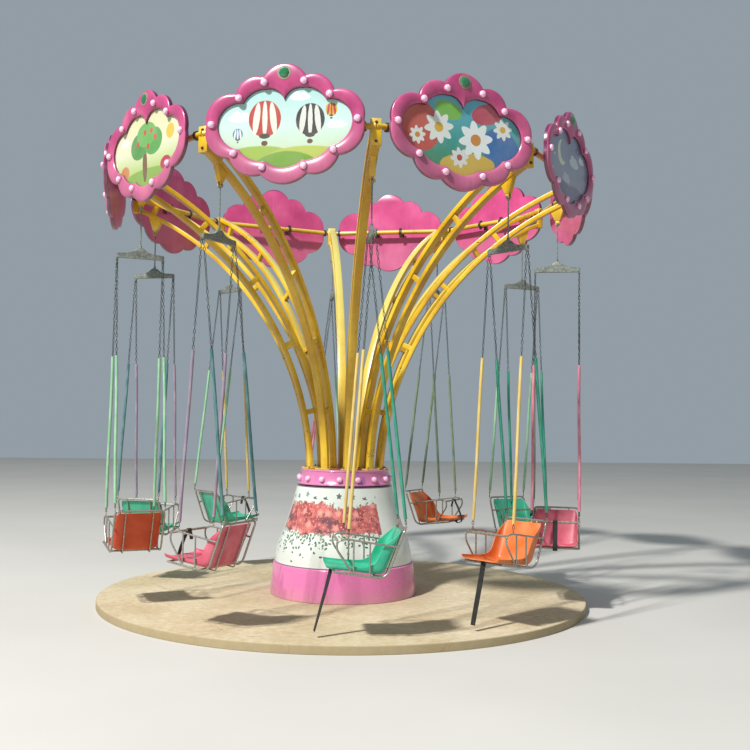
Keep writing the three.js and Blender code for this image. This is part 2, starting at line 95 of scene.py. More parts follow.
def fill(node, *values, **named):
    """Fills a node's sockets. Values go to those in use, in order, and named ones by name, with underscores
    for spaces. Another node's output is linked, and a hex colour is made linear."""
    sockets = list(zip([socket for socket in node.inputs if socket.enabled], values))
    sockets += [(node.inputs[name.replace("_", " ")], value) for name, value in named.items()]
    for socket, value in sockets:
        if isinstance(value, bpy.types.NodeSocket):
            node.id_data.links.new(value, socket)
        else:
            socket.default_value = linear(value) if isinstance(value, str) else value


def add_node(tree, kind, *values, output=None, stops=(), **named):
    """Adds a shader node and returns the output that is asked for by name, or else its first in use. Names
    in small letters are the node's own settings, and the others its sockets. A colour ramp has stops, which
    are places and hex colours."""
    node = tree.nodes.new("ShaderNode" + kind)
    for name in [name for name in named if name.islower()]:
        setattr(node, name, named.pop(name))
    fill(node, *values, **named)
    for i, (place, colour) in enumerate(stops):
        elements = node.color_ramp.elements
        stop = elements[i] if i < len(elements) else elements.new(place)
        stop.position, stop.color = place, linear(colour)
    return node.outputs[output] if output else next(socket for socket in node.outputs if socket.enabled)


def new_material(name, **named):
    """A material with a Principled shader. Returns it with its tree, shader and Object coordinates."""
    material = bpy.data.materials.new(name)
    material.use_nodes = True
    tree = material.node_tree
    shader = tree.nodes["Principled BSDF"]
    fill(shader, **named)
    return material, tree, shader, add_node(tree, "TexCoord", output="Object")


def laid_over(tree, below, above, value, span, shares=(0.0, 1.0)):
    """A colour over another: as a value goes through a span, the upper one's share goes from the first share
    to the second and keeps to them outside the span."""
    share = add_node(tree, "MapRange", value, *span, *shares)
    return add_node(tree, "Mix", share, below, above, data_type="RGBA")


def skin(points, closed=False, u=None, v=None):
    """Quads over a grid of points [i, j]: face i, j has the corners i, j to i + 1, j + 1. The last i joins
    the first, and in a closed skin the last j does too. The UV map holds u[i] and v[j]."""
    rows, columns = points.shape[:2]
    i, j = np.meshgrid(np.arange(rows), np.arange(columns - (not closed)), indexing="ij")
    steps = [(0, 0), (1, 0), (1, 1), (0, 1)]
    corners = np.stack([(i + a) % rows * columns + (j + b) % columns for a, b in steps], -1)
    u = np.arange(rows + 1.0) if u is None else u
    v = np.arange(columns + 1.0) if v is None else v
    uv = np.stack([np.stack([u[i + a], v[j + b]], -1) for a, b in steps], -2)
    return points.reshape(-1, 3), corners.reshape(-1), np.full(i.size, 4), uv.reshape(-1, 2)


def capped(points, u=None, v=None):
    """A skin with a flat face over each end of its second direction."""
    rows, columns = points.shape[:2]
    xyz, corners, counts, uv = skin(points, False, u, v)
    ends = [np.arange(rows)[::-1] * columns, np.arange(rows) * columns + columns - 1]
    uv = np.append(uv, np.zeros((2 * rows, 2)), 0)
    return xyz, np.concatenate([corners, *ends]), np.append(counts, [rows, rows]), uv


def turned(profile, sides):
    """A profile of radius r and height z turned about the upright axis: x = r cos a, y = r sin a.
    It runs up the outside and in over the top. The UV map holds the angle and the height."""
    r, z = np.asarray(profile, float).T
    angle = np.arange(sides + 1) * 2 * math.pi / sides
    x, y = np.outer(np.cos(angle[:-1]), r), np.outer(np.sin(angle[:-1]), r)
    return capped(np.stack([x, y, np.tile(z, (sides, 1))], -1), angle, np.append(z, z[-1]))


def arc(centre, radius, start, end, steps=5):
    """Points on a circle round a centre, from a start angle to an end angle in degrees."""
    angle = np.radians(np.linspace(start, end, steps))
    return np.stack([centre[0] + radius * np.cos(angle), centre[1] + radius * np.sin(angle)], -1)


def make_piece(name, shape, materials, body, replaces=None, slot=None, face_material=None, sharp=38):
    """Puts a skin into a mesh object that rides on a body. Edges sharper than so many degrees are crisp."""
    points, corners, counts, uv = shape
    mesh = bpy.data.meshes.new(name)
    mesh.vertices.add(len(points))
    mesh.vertices.foreach_set("co", points.astype(np.float32).ravel())
    mesh.loops.add(len(corners))
    mesh.loops.foreach_set("vertex_index", corners.astype(np.int32))
    mesh.polygons.add(len(counts))
    mesh.polygons.foreach_set("loop_start", (np.cumsum(counts) - counts).astype(np.int32))
    mesh.uv_layers.new(name="UVMap").data.foreach_set("uv", uv.astype(np.float32).ravel())
    for material in materials if isinstance(materials, list) else [materials]:
        mesh.materials.append(material)
    if face_material is not None:
        mesh.polygons.foreach_set("material_index", face_material.astype(np.int32))
    mesh.update(calc_edges=True)
    mesh.polygons.foreach_set("use_smooth", np.ones(len(counts), bool))
    mesh.set_sharp_from_angle(angle=math.radians(sharp))
    made = in_scene(name, mesh)
    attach(made, body)
    if replaces:
        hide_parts(replaces)


def platform_shape():
    """A disc turned from its profile, whose top sinks by the hollow times (1 - r / R) times a slow wave."""
    edge = arc((PLATFORM_RADIUS - RIM_ROUNDING, PLATFORM_TOP - RIM_ROUNDING), RIM_ROUNDING, 0, 90)
    top = np.linspace([PLATFORM_RADIUS - 0.03, PLATFORM_TOP], [CORE, PLATFORM_TOP], PLATFORM_RINGS)
    foot = [[CORE, 0], [PLATFORM_RADIUS - RIM_CHAMFER, 0], [PLATFORM_RADIUS, RIM_CHAMFER]]
    points, *faces = turned(np.concatenate([foot, edge, top]), PLATFORM_SIDES)
    x, y, z = points.T
    wave = 0.5 + 0.25 * np.sin(2.1 * x + 0.6) + 0.25 * np.cos(1.7 * y - x)
    sunk = TOP_HOLLOW * (1 - np.hypot(x, y) / PLATFORM_RADIUS) * wave
    points[:, 2] -= np.where(z > PLATFORM_TOP - 1e-6, sunk, 0)
    return (points, *faces)


def trowelled_concrete():
    """Trowelled concrete, dry and dusty: matt and pale, in cream and tan patches, with grit and hairline
    cracks, darker round the rim and under and round the trunk. Patches are about 700 mm across, mottling
    60 mm, grit 4 mm, cracks 1.2 m apart."""
    material, tree, shader, place = new_material(
        "trowelled_concrete_dusty", Roughness=0.88, IOR=1.5, Specular_IOR_Level=0.3
    )
    patches = add_node(tree, "TexNoise", place, Scale=1.4, Detail=5.0, Roughness=0.6)
    creams = [(0.28, "#BDAA86"), (0.5, "#CDBD9C"), (0.72, "#D9CBAE")]
    cream = add_node(tree, "ValToRGB", patches, stops=creams)
    mottling = add_node(tree, "TexNoise", place, Scale=17.0, Detail=6.0, Roughness=0.7)
    shade = add_node(tree, "ValToRGB", mottling, stops=[(0.3, "#D8D2C4"), (0.6, "#FFFFFF")])
    mottled = add_node(tree, "Mix", 0.7, cream, shade, data_type="RGBA", blend_type="MULTIPLY")
    bend = add_node(tree, "TexNoise", place, Scale=2.5, Detail=4.0, output="Color")
    bent = add_node(tree, "VectorMath", bend, (0.5, 0.5, 0.5), place, operation="MULTIPLY_ADD")
    crack = add_node(
        tree, "TexVoronoi", bent, feature="DISTANCE_TO_EDGE", voronoi_dimensions="2D", Scale=0.8
    )
    cracked = laid_over(tree, mottled, "#7A6C55", crack, (0.0012, 0.004), (0.45, 0.0))
    flat = add_node(tree, "VectorMath", place, (1, 1, 0), operation="MULTIPLY")
    radius = add_node(tree, "VectorMath", flat, operation="LENGTH")
    rim = (PLATFORM_RADIUS - RIM_DARKENING, PLATFORM_RADIUS - 0.001)
    rimmed = laid_over(tree, cracked, "#9C8A66", radius, rim, (0.0, 0.75))
    sheltered = laid_over(tree, rimmed, "#A08F70", radius, TRUNK_DARKENING, (0.4, 0.0))
    grit = add_node(tree, "TexNoise", place, Scale=250.0, Detail=2.0)
    relief = add_node(tree, "Math", mottling, 1.6, grit, operation="MULTIPLY_ADD")
    bump = add_node(tree, "Bump", Strength=0.5, Distance=0.0015, Height=relief)
    fill(shader, Base_Color=sheltered, Normal=bump)
    return material


make_piece("platform_slab", platform_shape(), trowelled_concrete(), "base", "platform", "platform_concrete")


# Base ring
# The lower housing of the trunk, a low pink cone laid up in glass fibre with glossy gelcoat. It stands
# on the slab and is bolted down from the inside, so only a rolled edge shows at its top.
(_, _, RING_FOOT), (RING_FOOT_RADIUS, _, RING_TOP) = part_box("base_ring")
RING_TOP_RADIUS = 0.658
RING_CHAMFER, RING_ROLL = 0.003, 0.012
CONE_FOOT = 0.085
TRUNK_SIDES = 120


def orange_peel(tree, place, waves, peel):
    """The relief of sprayed gelcoat: slow waves, eight times as high as the fine peel that rides on them.
    Both are given as noise scales."""
    slow = add_node(tree, "TexNoise", place, Scale=waves, Detail=2.0)
    fine = add_node(tree, "TexNoise", place, Scale=peel, Detail=1.0)
    relief = add_node(tree, "Math", slow, 8.0, fine, operation="MULTIPLY_ADD")
    return add_node(tree, "Bump", Strength=0.25, Distance=0.0006, Height=relief)


def pink_gelcoat(name, colour, streak, dust_top):
    """Polyester gelcoat, pigmented pink and polished in the mould: glossy with a soft orange peel of 5 mm,
    faint run-down streaks 60 mm apart, and dust that fades out at a height above the slab."""
    material, tree, shader, place = new_material(name, IOR=1.5, Coat_Weight=0.5, Coat_Roughness=0.12)
    tall = add_node(tree, "Mapping", place, Scale=(1.0, 1.0, 0.12))
    runs = add_node(tree, "TexNoise", tall, Scale=16.0, Detail=4.0)
    fade = add_node(tree, "TexNoise", place, Scale=2.2, Detail=3.0)
    tone = add_node(tree, "Math", runs, fade, operation="ADD")
    coloured = add_node(tree, "ValToRGB", tone, stops=[(0.75, streak), (0.92, colour), (1.0, colour)])
    height = add_node(tree, "SeparateXYZ", place, output="Z")
    dirt = add_node(tree, "TexNoise", place, Scale=9.0, Detail=6.0, Roughness=0.7)
    low = add_node(
        tree, "MapRange", height, From_Min=PLATFORM_TOP, From_Max=dust_top, To_Min=0.75, To_Max=0.0
    )
    dusty = add_node(tree, "Math", low, dirt, operation="MULTIPLY")
    soiled = add_node(tree, "Mix", dusty, coloured, "#B89A80", data_type="RGBA")
    rough = add_node(tree, "MapRange", dirt, From_Min=0.3, From_Max=0.8, To_Min=0.18, To_Max=0.42)
    fill(shader, Base_Color=soiled, Roughness=rough, Normal=orange_peel(tree, place, 5.0, 200.0))
    return material


ring_profile = np.concatenate([
    [[CORE, RING_FOOT], [RING_FOOT_RADIUS - RING_CHAMFER, RING_FOOT]],
    [[RING_FOOT_RADIUS, RING_FOOT + RING_CHAMFER]],
    np.linspace([RING_FOOT_RADIUS - 0.001, CONE_FOOT], [RING_TOP_RADIUS, RING_TOP - 0.014], 8),
    arc((RING_TOP_RADIUS - RING_ROLL, RING_TOP - RING_ROLL), RING_ROLL, 5, 90, 6),
    [[CORE, RING_TOP]],
])
base_ring = turned(ring_profile, TRUNK_SIDES)
ring_gelcoat = pink_gelcoat("pink_polyester_gelcoat_ring", "#DC76A8", "#C45C96", 0.20)
make_piece("base_ring_housing", base_ring, ring_gelcoat, "base", "base_ring", "pink_gelcoat")


# Skirt
# The flared housing above the ring, white gelcoat over glass fibre. A printed film with a bed of red and
# pink blossoms over green leaves is laid on it, twice round, with plain white between.
SKIRT_FOOT, SKIRT_TOP = (corner.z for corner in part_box("skirt"))
SKIRT_KEYS = [
    [0.640, SKIRT_FOOT], [0.632, 0.460], [0.606, 0.560], [0.566, 0.660], [0.524, 0.780], [0.482, 0.920],
    [0.446, SKIRT_TOP],
]
SKIRT_LIP = 0.440
SKIRT_GIRTH = 0.52     # radius at which the print's widths are true
# Lowest and highest edge of the bed, of the leaves, and of where the leaves grow thicker. The noise that
# makes them uneven lifts a place by 95 mm on average, and these heights count that in.
BED, LEAVES, LEAVES_THICKEN = (0.765, 1.005), (0.50, 1.02), (0.54, 0.77)
MOUND, RAGGED = 0.10, 0.09     # how far slow and fast noise lift a place at most
PRINT_MIDDLE = math.radians(244.5)     # angle of the first print's middle, from +X
PRINT_REACH = math.radians(57.5)
BLOSSOM, BUD, LEAF, SPRIG = 0.088, 0.045, 0.029, 0.130     # spacing of each motif
SPRIG_HEIGHT = 1.025
LOBE_DEPTH = 0.28


def through(keys, steps):
    """A smooth curve through key points: from key b to key c it is the cubic that leaves b along (c - a) / 2
    and reaches c along (d - b) / 2."""
    keys = np.asarray(keys, float)
    padded = np.concatenate([2 * keys[:1] - keys[1:2], keys, 2 * keys[-1:] - keys[-2:-1]])
    a, b, c, d = (padded[i : len(keys) - 1 + i, None] for i in range(4))
    t = (np.arange(steps) / steps)[None, :, None]
    curve = b + t * (c - a) / 2 + t**2 * (2 * a - 5 * b + 4 * c - d) / 2 + t**3 * (3 * b - a - 3 * c + d) / 2
    return np.concatenate([curve.reshape(-1, keys.shape[1]), keys[-1:]])


def blossom_layer(tree, place, spacing, petals, size, scatter=0.75):
    """Blossoms round scattered points: at a distance r and an angle a from the nearest point, the print is
    petal where r is under size (1 + 0.28 cos(petals a + 6.28 chance)). Returns the mask, r and the chance."""
    cells = add_node(
        tree, "TexVoronoi", place, voronoi_dimensions="2D", Scale=1 / spacing, Randomness=scatter
    ).node.outputs
    away = add_node(tree, "VectorMath", place, cells["Position"], operation="SUBTRACT")
    radius = add_node(tree, "VectorMath", away, operation="LENGTH")
    along = add_node(tree, "SeparateXYZ", away).node.outputs
    angle = add_node(tree, "Math", along["Y"], along["X"], operation="ARCTAN2")
    chance = add_node(tree, "SeparateColor", cells["Color"]).node.outputs
    spin = add_node(tree, "Math", chance["Green"], 6.28, operation="MULTIPLY")
    turns = add_node(tree, "Math", angle, petals, spin, operation="MULTIPLY_ADD")
    lobes = add_node(tree, "Math", turns, operation="COSINE")
    reach = add_node(tree, "Math", lobes, LOBE_DEPTH * size, size, operation="MULTIPLY_ADD")
    edge = add_node(tree, "Math", reach, radius, operation="SUBTRACT")
    mask = add_node(tree, "MapRange", edge, From_Min=-0.001, From_Max=0.001)
    return mask, radius, chance["Red"]


def between(tree, value, low, high, soft):
    """1 where a value lies from low to high, falling to 0 over a soft edge: two clamped ramps multiplied."""
    rise = add_node(tree, "MapRange", value, From_Min=low - soft, From_Max=low + soft)
    fall = add_node(tree, "MapRange", value, From_Min=high + soft, From_Max=high - soft)
    return add_node(tree, "Math", rise, fall, operation="MULTIPLY")


def printed_gelcoat():
    """White gelcoat with a printed film: glossy, slightly yellowed, the print sun-faded. Blossoms are 88 and
    45 mm apart, leaves 29 mm, and sprigs 130 mm in a row near the top. The print's edges are uneven by about
    30 mm, and a painted shade darkens the joints above and below."""
    material, tree, shader, place = new_material(
        "white_polyester_gelcoat_printed", Roughness=0.26, IOR=1.5, Coat_Weight=0.4, Coat_Roughness=0.15
    )
    uv = add_node(tree, "UVMap")
    film = add_node(tree, "Mapping", uv, Scale=(SKIRT_GIRTH, 1, 1))
    angle_height = add_node(tree, "SeparateXYZ", uv).node.outputs
    level = angle_height["Y"]
    mound = add_node(tree, "TexNoise", film, Scale=7.0, Detail=1.0)
    ragged = add_node(tree, "TexNoise", film, Scale=22.0, Detail=4.0)
    mounded = add_node(tree, "Math", mound, MOUND, level, operation="MULTIPLY_ADD")
    height = add_node(tree, "Math", ragged, RAGGED, mounded, operation="MULTIPLY_ADD")
    # the print repeats every half turn: |(angle - middle + half pi) mod pi - half pi|
    swung = add_node(tree, "Math", angle_height["X"], math.pi / 2 - PRINT_MIDDLE + 2 * math.pi)
    folded = add_node(tree, "Math", swung, math.pi, operation="MODULO")
    centred = add_node(tree, "Math", folded, math.pi / 2, operation="SUBTRACT")
    aside = add_node(tree, "Math", centred, operation="ABSOLUTE")
    wide = between(tree, aside, -1.0, PRINT_REACH, 0.012)

    stain = add_node(tree, "TexNoise", place, Scale=3.0, Detail=5.0, Roughness=0.65)
    ground = add_node(tree, "ValToRGB", stain, stops=[(0.3, "#CCD2C8"), (0.6, "#DCE2D8")])

    leaf, _, leaf_chance = blossom_layer(tree, film, LEAF, 2.0, 0.37 * LEAF)
    share = add_node(tree, "MapRange", height, *LEAVES_THICKEN, To_Min=0.05)
    grows = add_node(tree, "Math", leaf_chance, share, operation="LESS_THAN")
    for mask in (grows, between(tree, height, *LEAVES, 0.004), wide):
        leaf = add_node(tree, "Math", leaf, mask, operation="MULTIPLY")
    greens = [(0.0, "#2E4A3A"), (0.5, "#4E7A5A"), (0.9, "#86A880")]
    green = add_node(tree, "ValToRGB", leaf_chance, stops=greens)
    colour = add_node(tree, "Mix", leaf, ground, green, data_type="RGBA")

    rows = between(tree, height, *BED, 0.006)
    bed = add_node(tree, "Math", rows, wide, operation="MULTIPLY")
    drift = add_node(tree, "TexNoise", film, Scale=4.2, Detail=2.0)
    reds = [(0.36, "#5E2230"), (0.46, "#984048"), (0.55, "#DC7468"), (0.66, "#B85850")]
    red = add_node(tree, "ValToRGB", drift, stops=reds)
    colour = add_node(tree, "Mix", bed, colour, red, data_type="RGBA")
    layers = [
        (BUD, [(0.0, "#501C2A"), (0.4, "#983E48"), (0.75, "#D8766E")], "#E8A080"),
        (BLOSSOM, [(0.0, "#9A3440"), (0.35, "#CC5A58"), (0.7, "#F09488")], "#E8A868"),
    ]
    for spacing, shades, heart in layers:
        size = 0.40 * spacing
        petal, radius, chance = blossom_layer(tree, film, spacing, 5.0, size)
        shown = add_node(tree, "Math", petal, bed, operation="MULTIPLY")
        tint = add_node(tree, "ValToRGB", chance, stops=shades)
        tint = laid_over(tree, tint, "#5E1E2A", radius, (0.35 * size, 1.25 * size), (0.0, 0.55))
        eye = between(tree, radius, -1.0, 0.18 * size, 0.001)
        tint = add_node(tree, "Mix", eye, tint, heart, data_type="RGBA")
        colour = add_node(tree, "Mix", shown, colour, tint, data_type="RGBA")

    row = add_node(tree, "Mapping", film, Location=(0, SPRIG / 2 - SPRIG_HEIGHT, 0))
    sprig, _, sprig_chance = blossom_layer(tree, row, SPRIG, 5.0, 0.17 * SPRIG, 0.3)
    for mask in (between(tree, level, SPRIG_HEIGHT - SPRIG / 2, SPRIG_HEIGHT + SPRIG / 2, 0.002), wide):
        sprig = add_node(tree, "Math", sprig, mask, operation="MULTIPLY")
    dusky = add_node(tree, "ValToRGB", sprig_chance, stops=[(0.2, "#34504A"), (0.8, "#7C948A")])
    colour = add_node(tree, "Mix", sprig, colour, dusky, data_type="RGBA")
    # painted shade: dark bands 8 mm and 10 mm deep at the foot and the top, in the joints where shade falls
    clear_of_joint_shade = between(tree, level, SKIRT_FOOT + 0.008, SKIRT_TOP - 0.010, 0.002)
    colour = add_node(tree, "Mix", clear_of_joint_shade, "#5C4E5A", colour, data_type="RGBA")
    faded = add_node(tree, "Mix", 0.08, colour, "#C8B8AE", data_type="RGBA")
    fill(shader, Base_Color=faded, Normal=orange_peel(tree, place, 5.0, 180.0))
    return material


skirt_profile = np.concatenate([
    [[CORE, SKIRT_FOOT]], through(SKIRT_KEYS, 6), [[SKIRT_LIP, SKIRT_TOP], [CORE, SKIRT_TOP]],
])
skirt = turned(skirt_profile, TRUNK_SIDES)
make_piece("skirt_housing", skirt, printed_gelcoat(), "base", "skirt", "printed_gelcoat")


# Slewing bearing
# A ring of ball bearing steel between the fixed skirt and the collar that turns. Only its greased edge
# shows in the gap. It is bolted up through the head of the inner post.
def greased_steel():
    """Ground bearing steel under old grease: dark, half glossy, with dust caught in streaks of 30 mm."""
    material, tree, shader, place = new_material("bearing_steel_greased", Metallic=1.0, Roughness=0.45)
    grease = add_node(tree, "TexNoise", place, Scale=30.0, Detail=4.0)
    fill(shader, Base_Color=add_node(tree, "ValToRGB", grease, stops=[(0.35, "#3A3733"), (0.65, "#6C6A66")]))
    return material


bearing_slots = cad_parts["slew_bearing"].data.materials
bearing_slots.clear()
bearing_slots.append(greased_steel())


# Collar
# The turning head of the trunk, a pink gelcoat band with a rolled edge above and below, and sixteen
# milky lamps screwed round it. The arms' feet are bolted down through its top.
(_, _, COLLAR_FOOT), (COLLAR_FOOT_RADIUS, _, COLLAR_TOP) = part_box("collar")
COLLAR_TOP_RADIUS = 0.416
COLLAR_WAIST = [0.4225, 1.15]     # radius and height
ROLL = 0.009
COLLAR_LAMPS = 16
LAMP_RING, LAMP_HEIGHT, LAMP_TILT = 0.4255, 1.136, 0.15
LAMP_RADIUS, LAMP_REACH, LAMP_FLUTES = 0.026, 0.030, 12


def unit(vectors):
    """Vectors divided by their lengths."""
    return vectors / np.linalg.norm(vectors, axis=-1, keepdims=True)


def moved(shape, by, axes=((1, 0, 0), (0, 1, 0), (0, 0, 1))):
    """A skin whose x, y and z are laid along three axes, and that is then shifted."""
    return (shape[0] @ np.asarray(axes, float) + by, *shape[1:])


def stood(shape, foot, axis):
    """A skin that stands along +Z, turned to stand along an axis: x side + y other + z axis + foot."""
    axis = unit(np.asarray(axis, float))
    side = unit(np.cross((0.0, 0.0, 1.0) if abs(axis[2]) < 0.9 else (1.0, 0.0, 0.0), axis))
    return moved(shape, foot, [side, np.cross(axis, side), axis])


def joined(skins):
    """Several skins as one: each one's corner numbers are raised by the count of the points before it."""
    points, corners, counts, uv = zip(*skins)
    starts = np.cumsum([0] + [len(p) for p in points[:-1]])
    raised = [c + start for c, start in zip(corners, starts)]
    return tuple(np.concatenate(parts) for parts in (points, raised, counts, uv))


def cap_lamp(radius, reach):
    """A moulded lamp cap: a dome of r = R cos e and z = H sin e over a short drum, whose radius is fluted by
    3% of cos(flutes a)."""
    low = 0.3 * reach
    drum_side = [[0.4 * radius, -0.001], [0.96 * radius, -0.001], [radius, 0.002], [radius, low]]
    dome = arc((0, 0), 1, 8, 84, 8) * [radius, reach - low] + [0, low]
    points, *faces = turned(np.concatenate([drum_side, dome]), 3 * LAMP_FLUTES)
    angle = np.arctan2(points[:, 1], points[:, 0])
    points[:, :2] *= (1 + 0.03 * np.cos(LAMP_FLUTES * angle))[:, None]
    return (points, *faces)


def lamp_seat(radius):
    """The round seat under a lamp: a low cone turned from four points, as shares of the lamp's radius."""
    return turned(np.array([[0.5, -0.004], [1.28, -0.004], [1.2, 0.003], [0.5, 0.004]]) * [radius, 1], 24)


def milky_acrylic():
    """Opal acrylic, injection moulded: glossy, pinkish white, and light scatters some millimetres into it."""
    material, tree, shader, place = new_material(
        "opal_acrylic_lamp_cap", Roughness=0.2, IOR=1.49, Subsurface_Weight=0.35,
        Subsurface_Radius=(0.008, 0.004, 0.005), Subsurface_Scale=1.0,
    )
    film = add_node(tree, "TexNoise", place, Scale=60.0, Detail=3.0)
    fill(shader, Base_Color=add_node(tree, "ValToRGB", film, stops=[(0.3, "#E8A4C4"), (0.65, "#F6CCE0")]))
    return material


collar_profile = np.concatenate([
    [[CORE, COLLAR_FOOT]],
    arc((COLLAR_FOOT_RADIUS - ROLL, COLLAR_FOOT + ROLL), ROLL, -90, 60, 7),
    [[COLLAR_FOOT_RADIUS - 0.010, COLLAR_FOOT + 0.022], COLLAR_WAIST],
    [[COLLAR_TOP_RADIUS - 0.006, COLLAR_TOP - 0.024]],
    arc((COLLAR_TOP_RADIUS - ROLL, COLLAR_TOP - ROLL), ROLL, -50, 90, 7),
    [[CORE, COLLAR_TOP]],
])
collar = turned(collar_profile, TRUNK_SIDES)
collar_gelcoat = pink_gelcoat("pink_polyester_gelcoat_collar", "#D07AA6", "#A860A4", 0.1)
make_piece("collar_band", collar, collar_gelcoat, "rotor", "collar", "pink_gelcoat")

opal = milky_acrylic()
lamp_angles = (np.arange(COLLAR_LAMPS) + 0.5) * 2 * math.pi / COLLAR_LAMPS
lamp_feet = [(LAMP_RING * math.cos(a), LAMP_RING * math.sin(a), LAMP_HEIGHT) for a in lamp_angles]
lamp_ways = [(math.cos(a), math.sin(a), LAMP_TILT) for a in lamp_angles]
for name, shape, material, slot in (
    ("collar_lamps", cap_lamp(LAMP_RADIUS, LAMP_REACH), opal, None),
    ("collar_lamp_seats", lamp_seat(LAMP_RADIUS), collar_gelcoat, "pink_gelcoat"),
):
    shape = joined([stood(shape, foot, way) for foot, way in zip(lamp_feet, lamp_ways)])
    make_piece(name, shape, material, "rotor", slot=slot)


# Arms
# Ten curved ladders of rectangular steel tube, rolled to an arc and welded to short rungs, painted with
# yellow enamel. A folded gusset under each tip carries the ears of the chair's hook, and a foot plate is
# bolted to the collar's head.
STATIONS = 10
STATION_ANGLE = 2 * math.pi / STATIONS
NUMBERS = [f"{i + 1:02d}" for i in range(STATIONS)]
ARC_CENTRE = [3.194, 1.091]     # distance from the ride's axis, and height
LOWER_ARC, UPPER_ARC = 2.849, 2.981
RAIL_WIDTH, RAIL_DEPTH, RAIL_CORNER = 0.070, 0.040, 0.006
RAIL_STEPS = 44
RUNGS, RUNG, RUNG_WELD = 5, 0.044, 0.018
RUNG_START, RUNG_SPACES = 0.875, 5.25     # in spaces between rungs
TIP_RADIUS = 2.183
PLATE_INSIDE, PLATE_OUTSIDE = 2.142, 2.190
SEAT_GAP = 0.0003
FOOT_OUTLINE = [[-0.044, 0.182], [0.044, 0.182], [0.074, 0.402], [-0.074, 0.402]]
FOOT_THICKNESS = 0.012
FOOT_TOP = COLLAR_TOP + SEAT_GAP + FOOT_THICKNESS
FOOT_BOLTS = [[0.036, 0.236], [0.0468, 0.378]]
FOOT_BOLT, PIN_BOLT = (0.009, 0.009, 0.006), (0.0115, 0.009)     # size, height of head, and stub
HOOK_RADIUS, PIVOT_HEIGHT = 1.966, 3.500
GUSSET_FOOT, GUSSET_WIDTH = 3.530, 0.044
EAR_RADIUS, EAR_TOP = 0.016, 3.536
EAR_PLACE, EAR_THICKNESS = 0.012, 0.008
PIN_RADIUS, PIN_HALF = 0.0068, 0.022


def carried(path, section, aside):
    """A closed section carried along a path: each point is the path's point plus x times the side direction
    and y times the direction square to both, where the side is the path's run crossed with a fixed one."""
    along = unit(np.gradient(path, axis=0))
    side = unit(np.cross(along, aside))
    other = np.cross(along, side)
    return path[None] + section[:, None, :1] * side[None] + section[:, None, 1:] * other[None]


def rounded_box(width, height, corner, steps=3):
    """A rectangle with round corners, anticlockwise: a quarter circle round each of four corner centres."""
    turn = np.radians(np.arange(4)[:, None] * 90 + np.linspace(0, 90, steps)[None])
    centres = np.array([[1, 1], [-1, 1], [-1, -1], [1, -1]]) * [width / 2 - corner, height / 2 - corner]
    circle = corner * np.stack([np.cos(turn), np.sin(turn)], -1)
    return (centres[:, None] + circle).reshape(-1, 2)


def at_station(shape, index, outwards=0.0):
    """A skin in a station's frame (x the way the chair travels, y outwards) turned to its place: a shift
    outwards, then a turn by half a circle plus index times the station angle."""
    turn = math.pi + index * STATION_ANGLE
    c, s = math.cos(turn), math.sin(turn)
    return moved(moved(shape, (0, outwards, 0)), 0, [[c, s, 0], [-s, c, 0], [0, 0, 1]])


def all_round(shape, offset=0.0):
    """A skin in a station's frame, repeated at all stations, or midway between them at an offset of 0.5."""
    return joined([at_station(shape, i + offset) for i in range(STATIONS)])


def angle_at_height(arc_radius, height):
    """Where an arm's arc passes a height: the angle arcsin((z - zc) / R)."""
    return math.asin((height - ARC_CENTRE[1]) / arc_radius)


def angle_at_reach(arc_radius, reach):
    """Where an arm's arc passes a distance from the ride's axis: the angle arccos((rc - r) / R)."""
    return math.acos((ARC_CENTRE[0] - reach) / arc_radius)


def on_arc(arc_radius, angle):
    """A point of a station's upright plane on an arc: y = rc - R cos a, z = zc + R sin a."""
    y = ARC_CENTRE[0] - arc_radius * np.cos(angle)
    return np.stack([np.zeros_like(y), y, ARC_CENTRE[1] + arc_radius * np.sin(angle)], -1)


def rail(arc_radius):
    """A rectangular tube along an arc, whose end rings slide along the tube to the foot plate's top and to
    the tip plate's face, so that it is cut off level there and upright here."""
    start, end = angle_at_height(arc_radius, FOOT_TOP), angle_at_reach(arc_radius, PLATE_INSIDE - SEAT_GAP)
    path = on_arc(arc_radius, np.linspace(start, end, RAIL_STEPS + 1))
    points = carried(path, rounded_box(RAIL_WIDTH, RAIL_DEPTH, RAIL_CORNER), (0, -1, 1))
    for ring, axis, place in ((0, 2, FOOT_TOP), (-1, 1, PLATE_INSIDE - SEAT_GAP)):
        way = unit(path[ring] - path[ring - 1 if ring else 1])
        points[:, ring] += ((place - points[:, ring, axis]) / way[axis])[:, None] * way
    return capped(points)


def block(path, width, height, corner=0.003, aside=(1, 0, 0)):
    """A bar of rounded rectangular section from point to point of a path."""
    return capped(carried(np.asarray(path, float), rounded_box(width, height, corner), aside))


def plate(outline, thickness, bevel=0.002):
    """A flat plate along +Z, from 0 to its thickness: its outline shrinks towards its middle by the bevel at
    both faces."""
    outline = np.asarray(outline, float)
    inner = outline - unit(outline - outline.mean(0)) * bevel * 1.4
    rings = [(inner, 0), (outline, bevel), (outline, thickness - bevel), (inner, thickness)]
    return capped(np.stack([np.insert(ring, 2, z, -1) for ring, z in rings], 1))


def drum(core, radius, foot, top, sides):
    """A round bar along +Z between two heights: a rectangle turned, with a flat face inside its core."""
    return turned([[core, foot], [radius, foot], [radius, top], [core, top]], sides)


def hex_bolt(size, head, shank=0.0):
    """A hexagon bolt head along +Z with chamfered corners, on a washer, and a stub of thread past it. The
    profiles are shares of its size and its head's height."""
    washer = turned(np.array([[0.3, 0], [1.15, 0], [1.15, 0.2], [0.3, 0.2]]) * [size, head], 16)
    hexagon = turned(np.array([[0.3, 0.2], [1, 0.2], [1, 0.85], [0.86, 1], [0.3, 1]]) * [size, head], 6)
    stub = [drum(size * 0.2, size * 0.52, head, head + shank, 10)] if shank else []
    return joined([washer, hexagon, *stub])


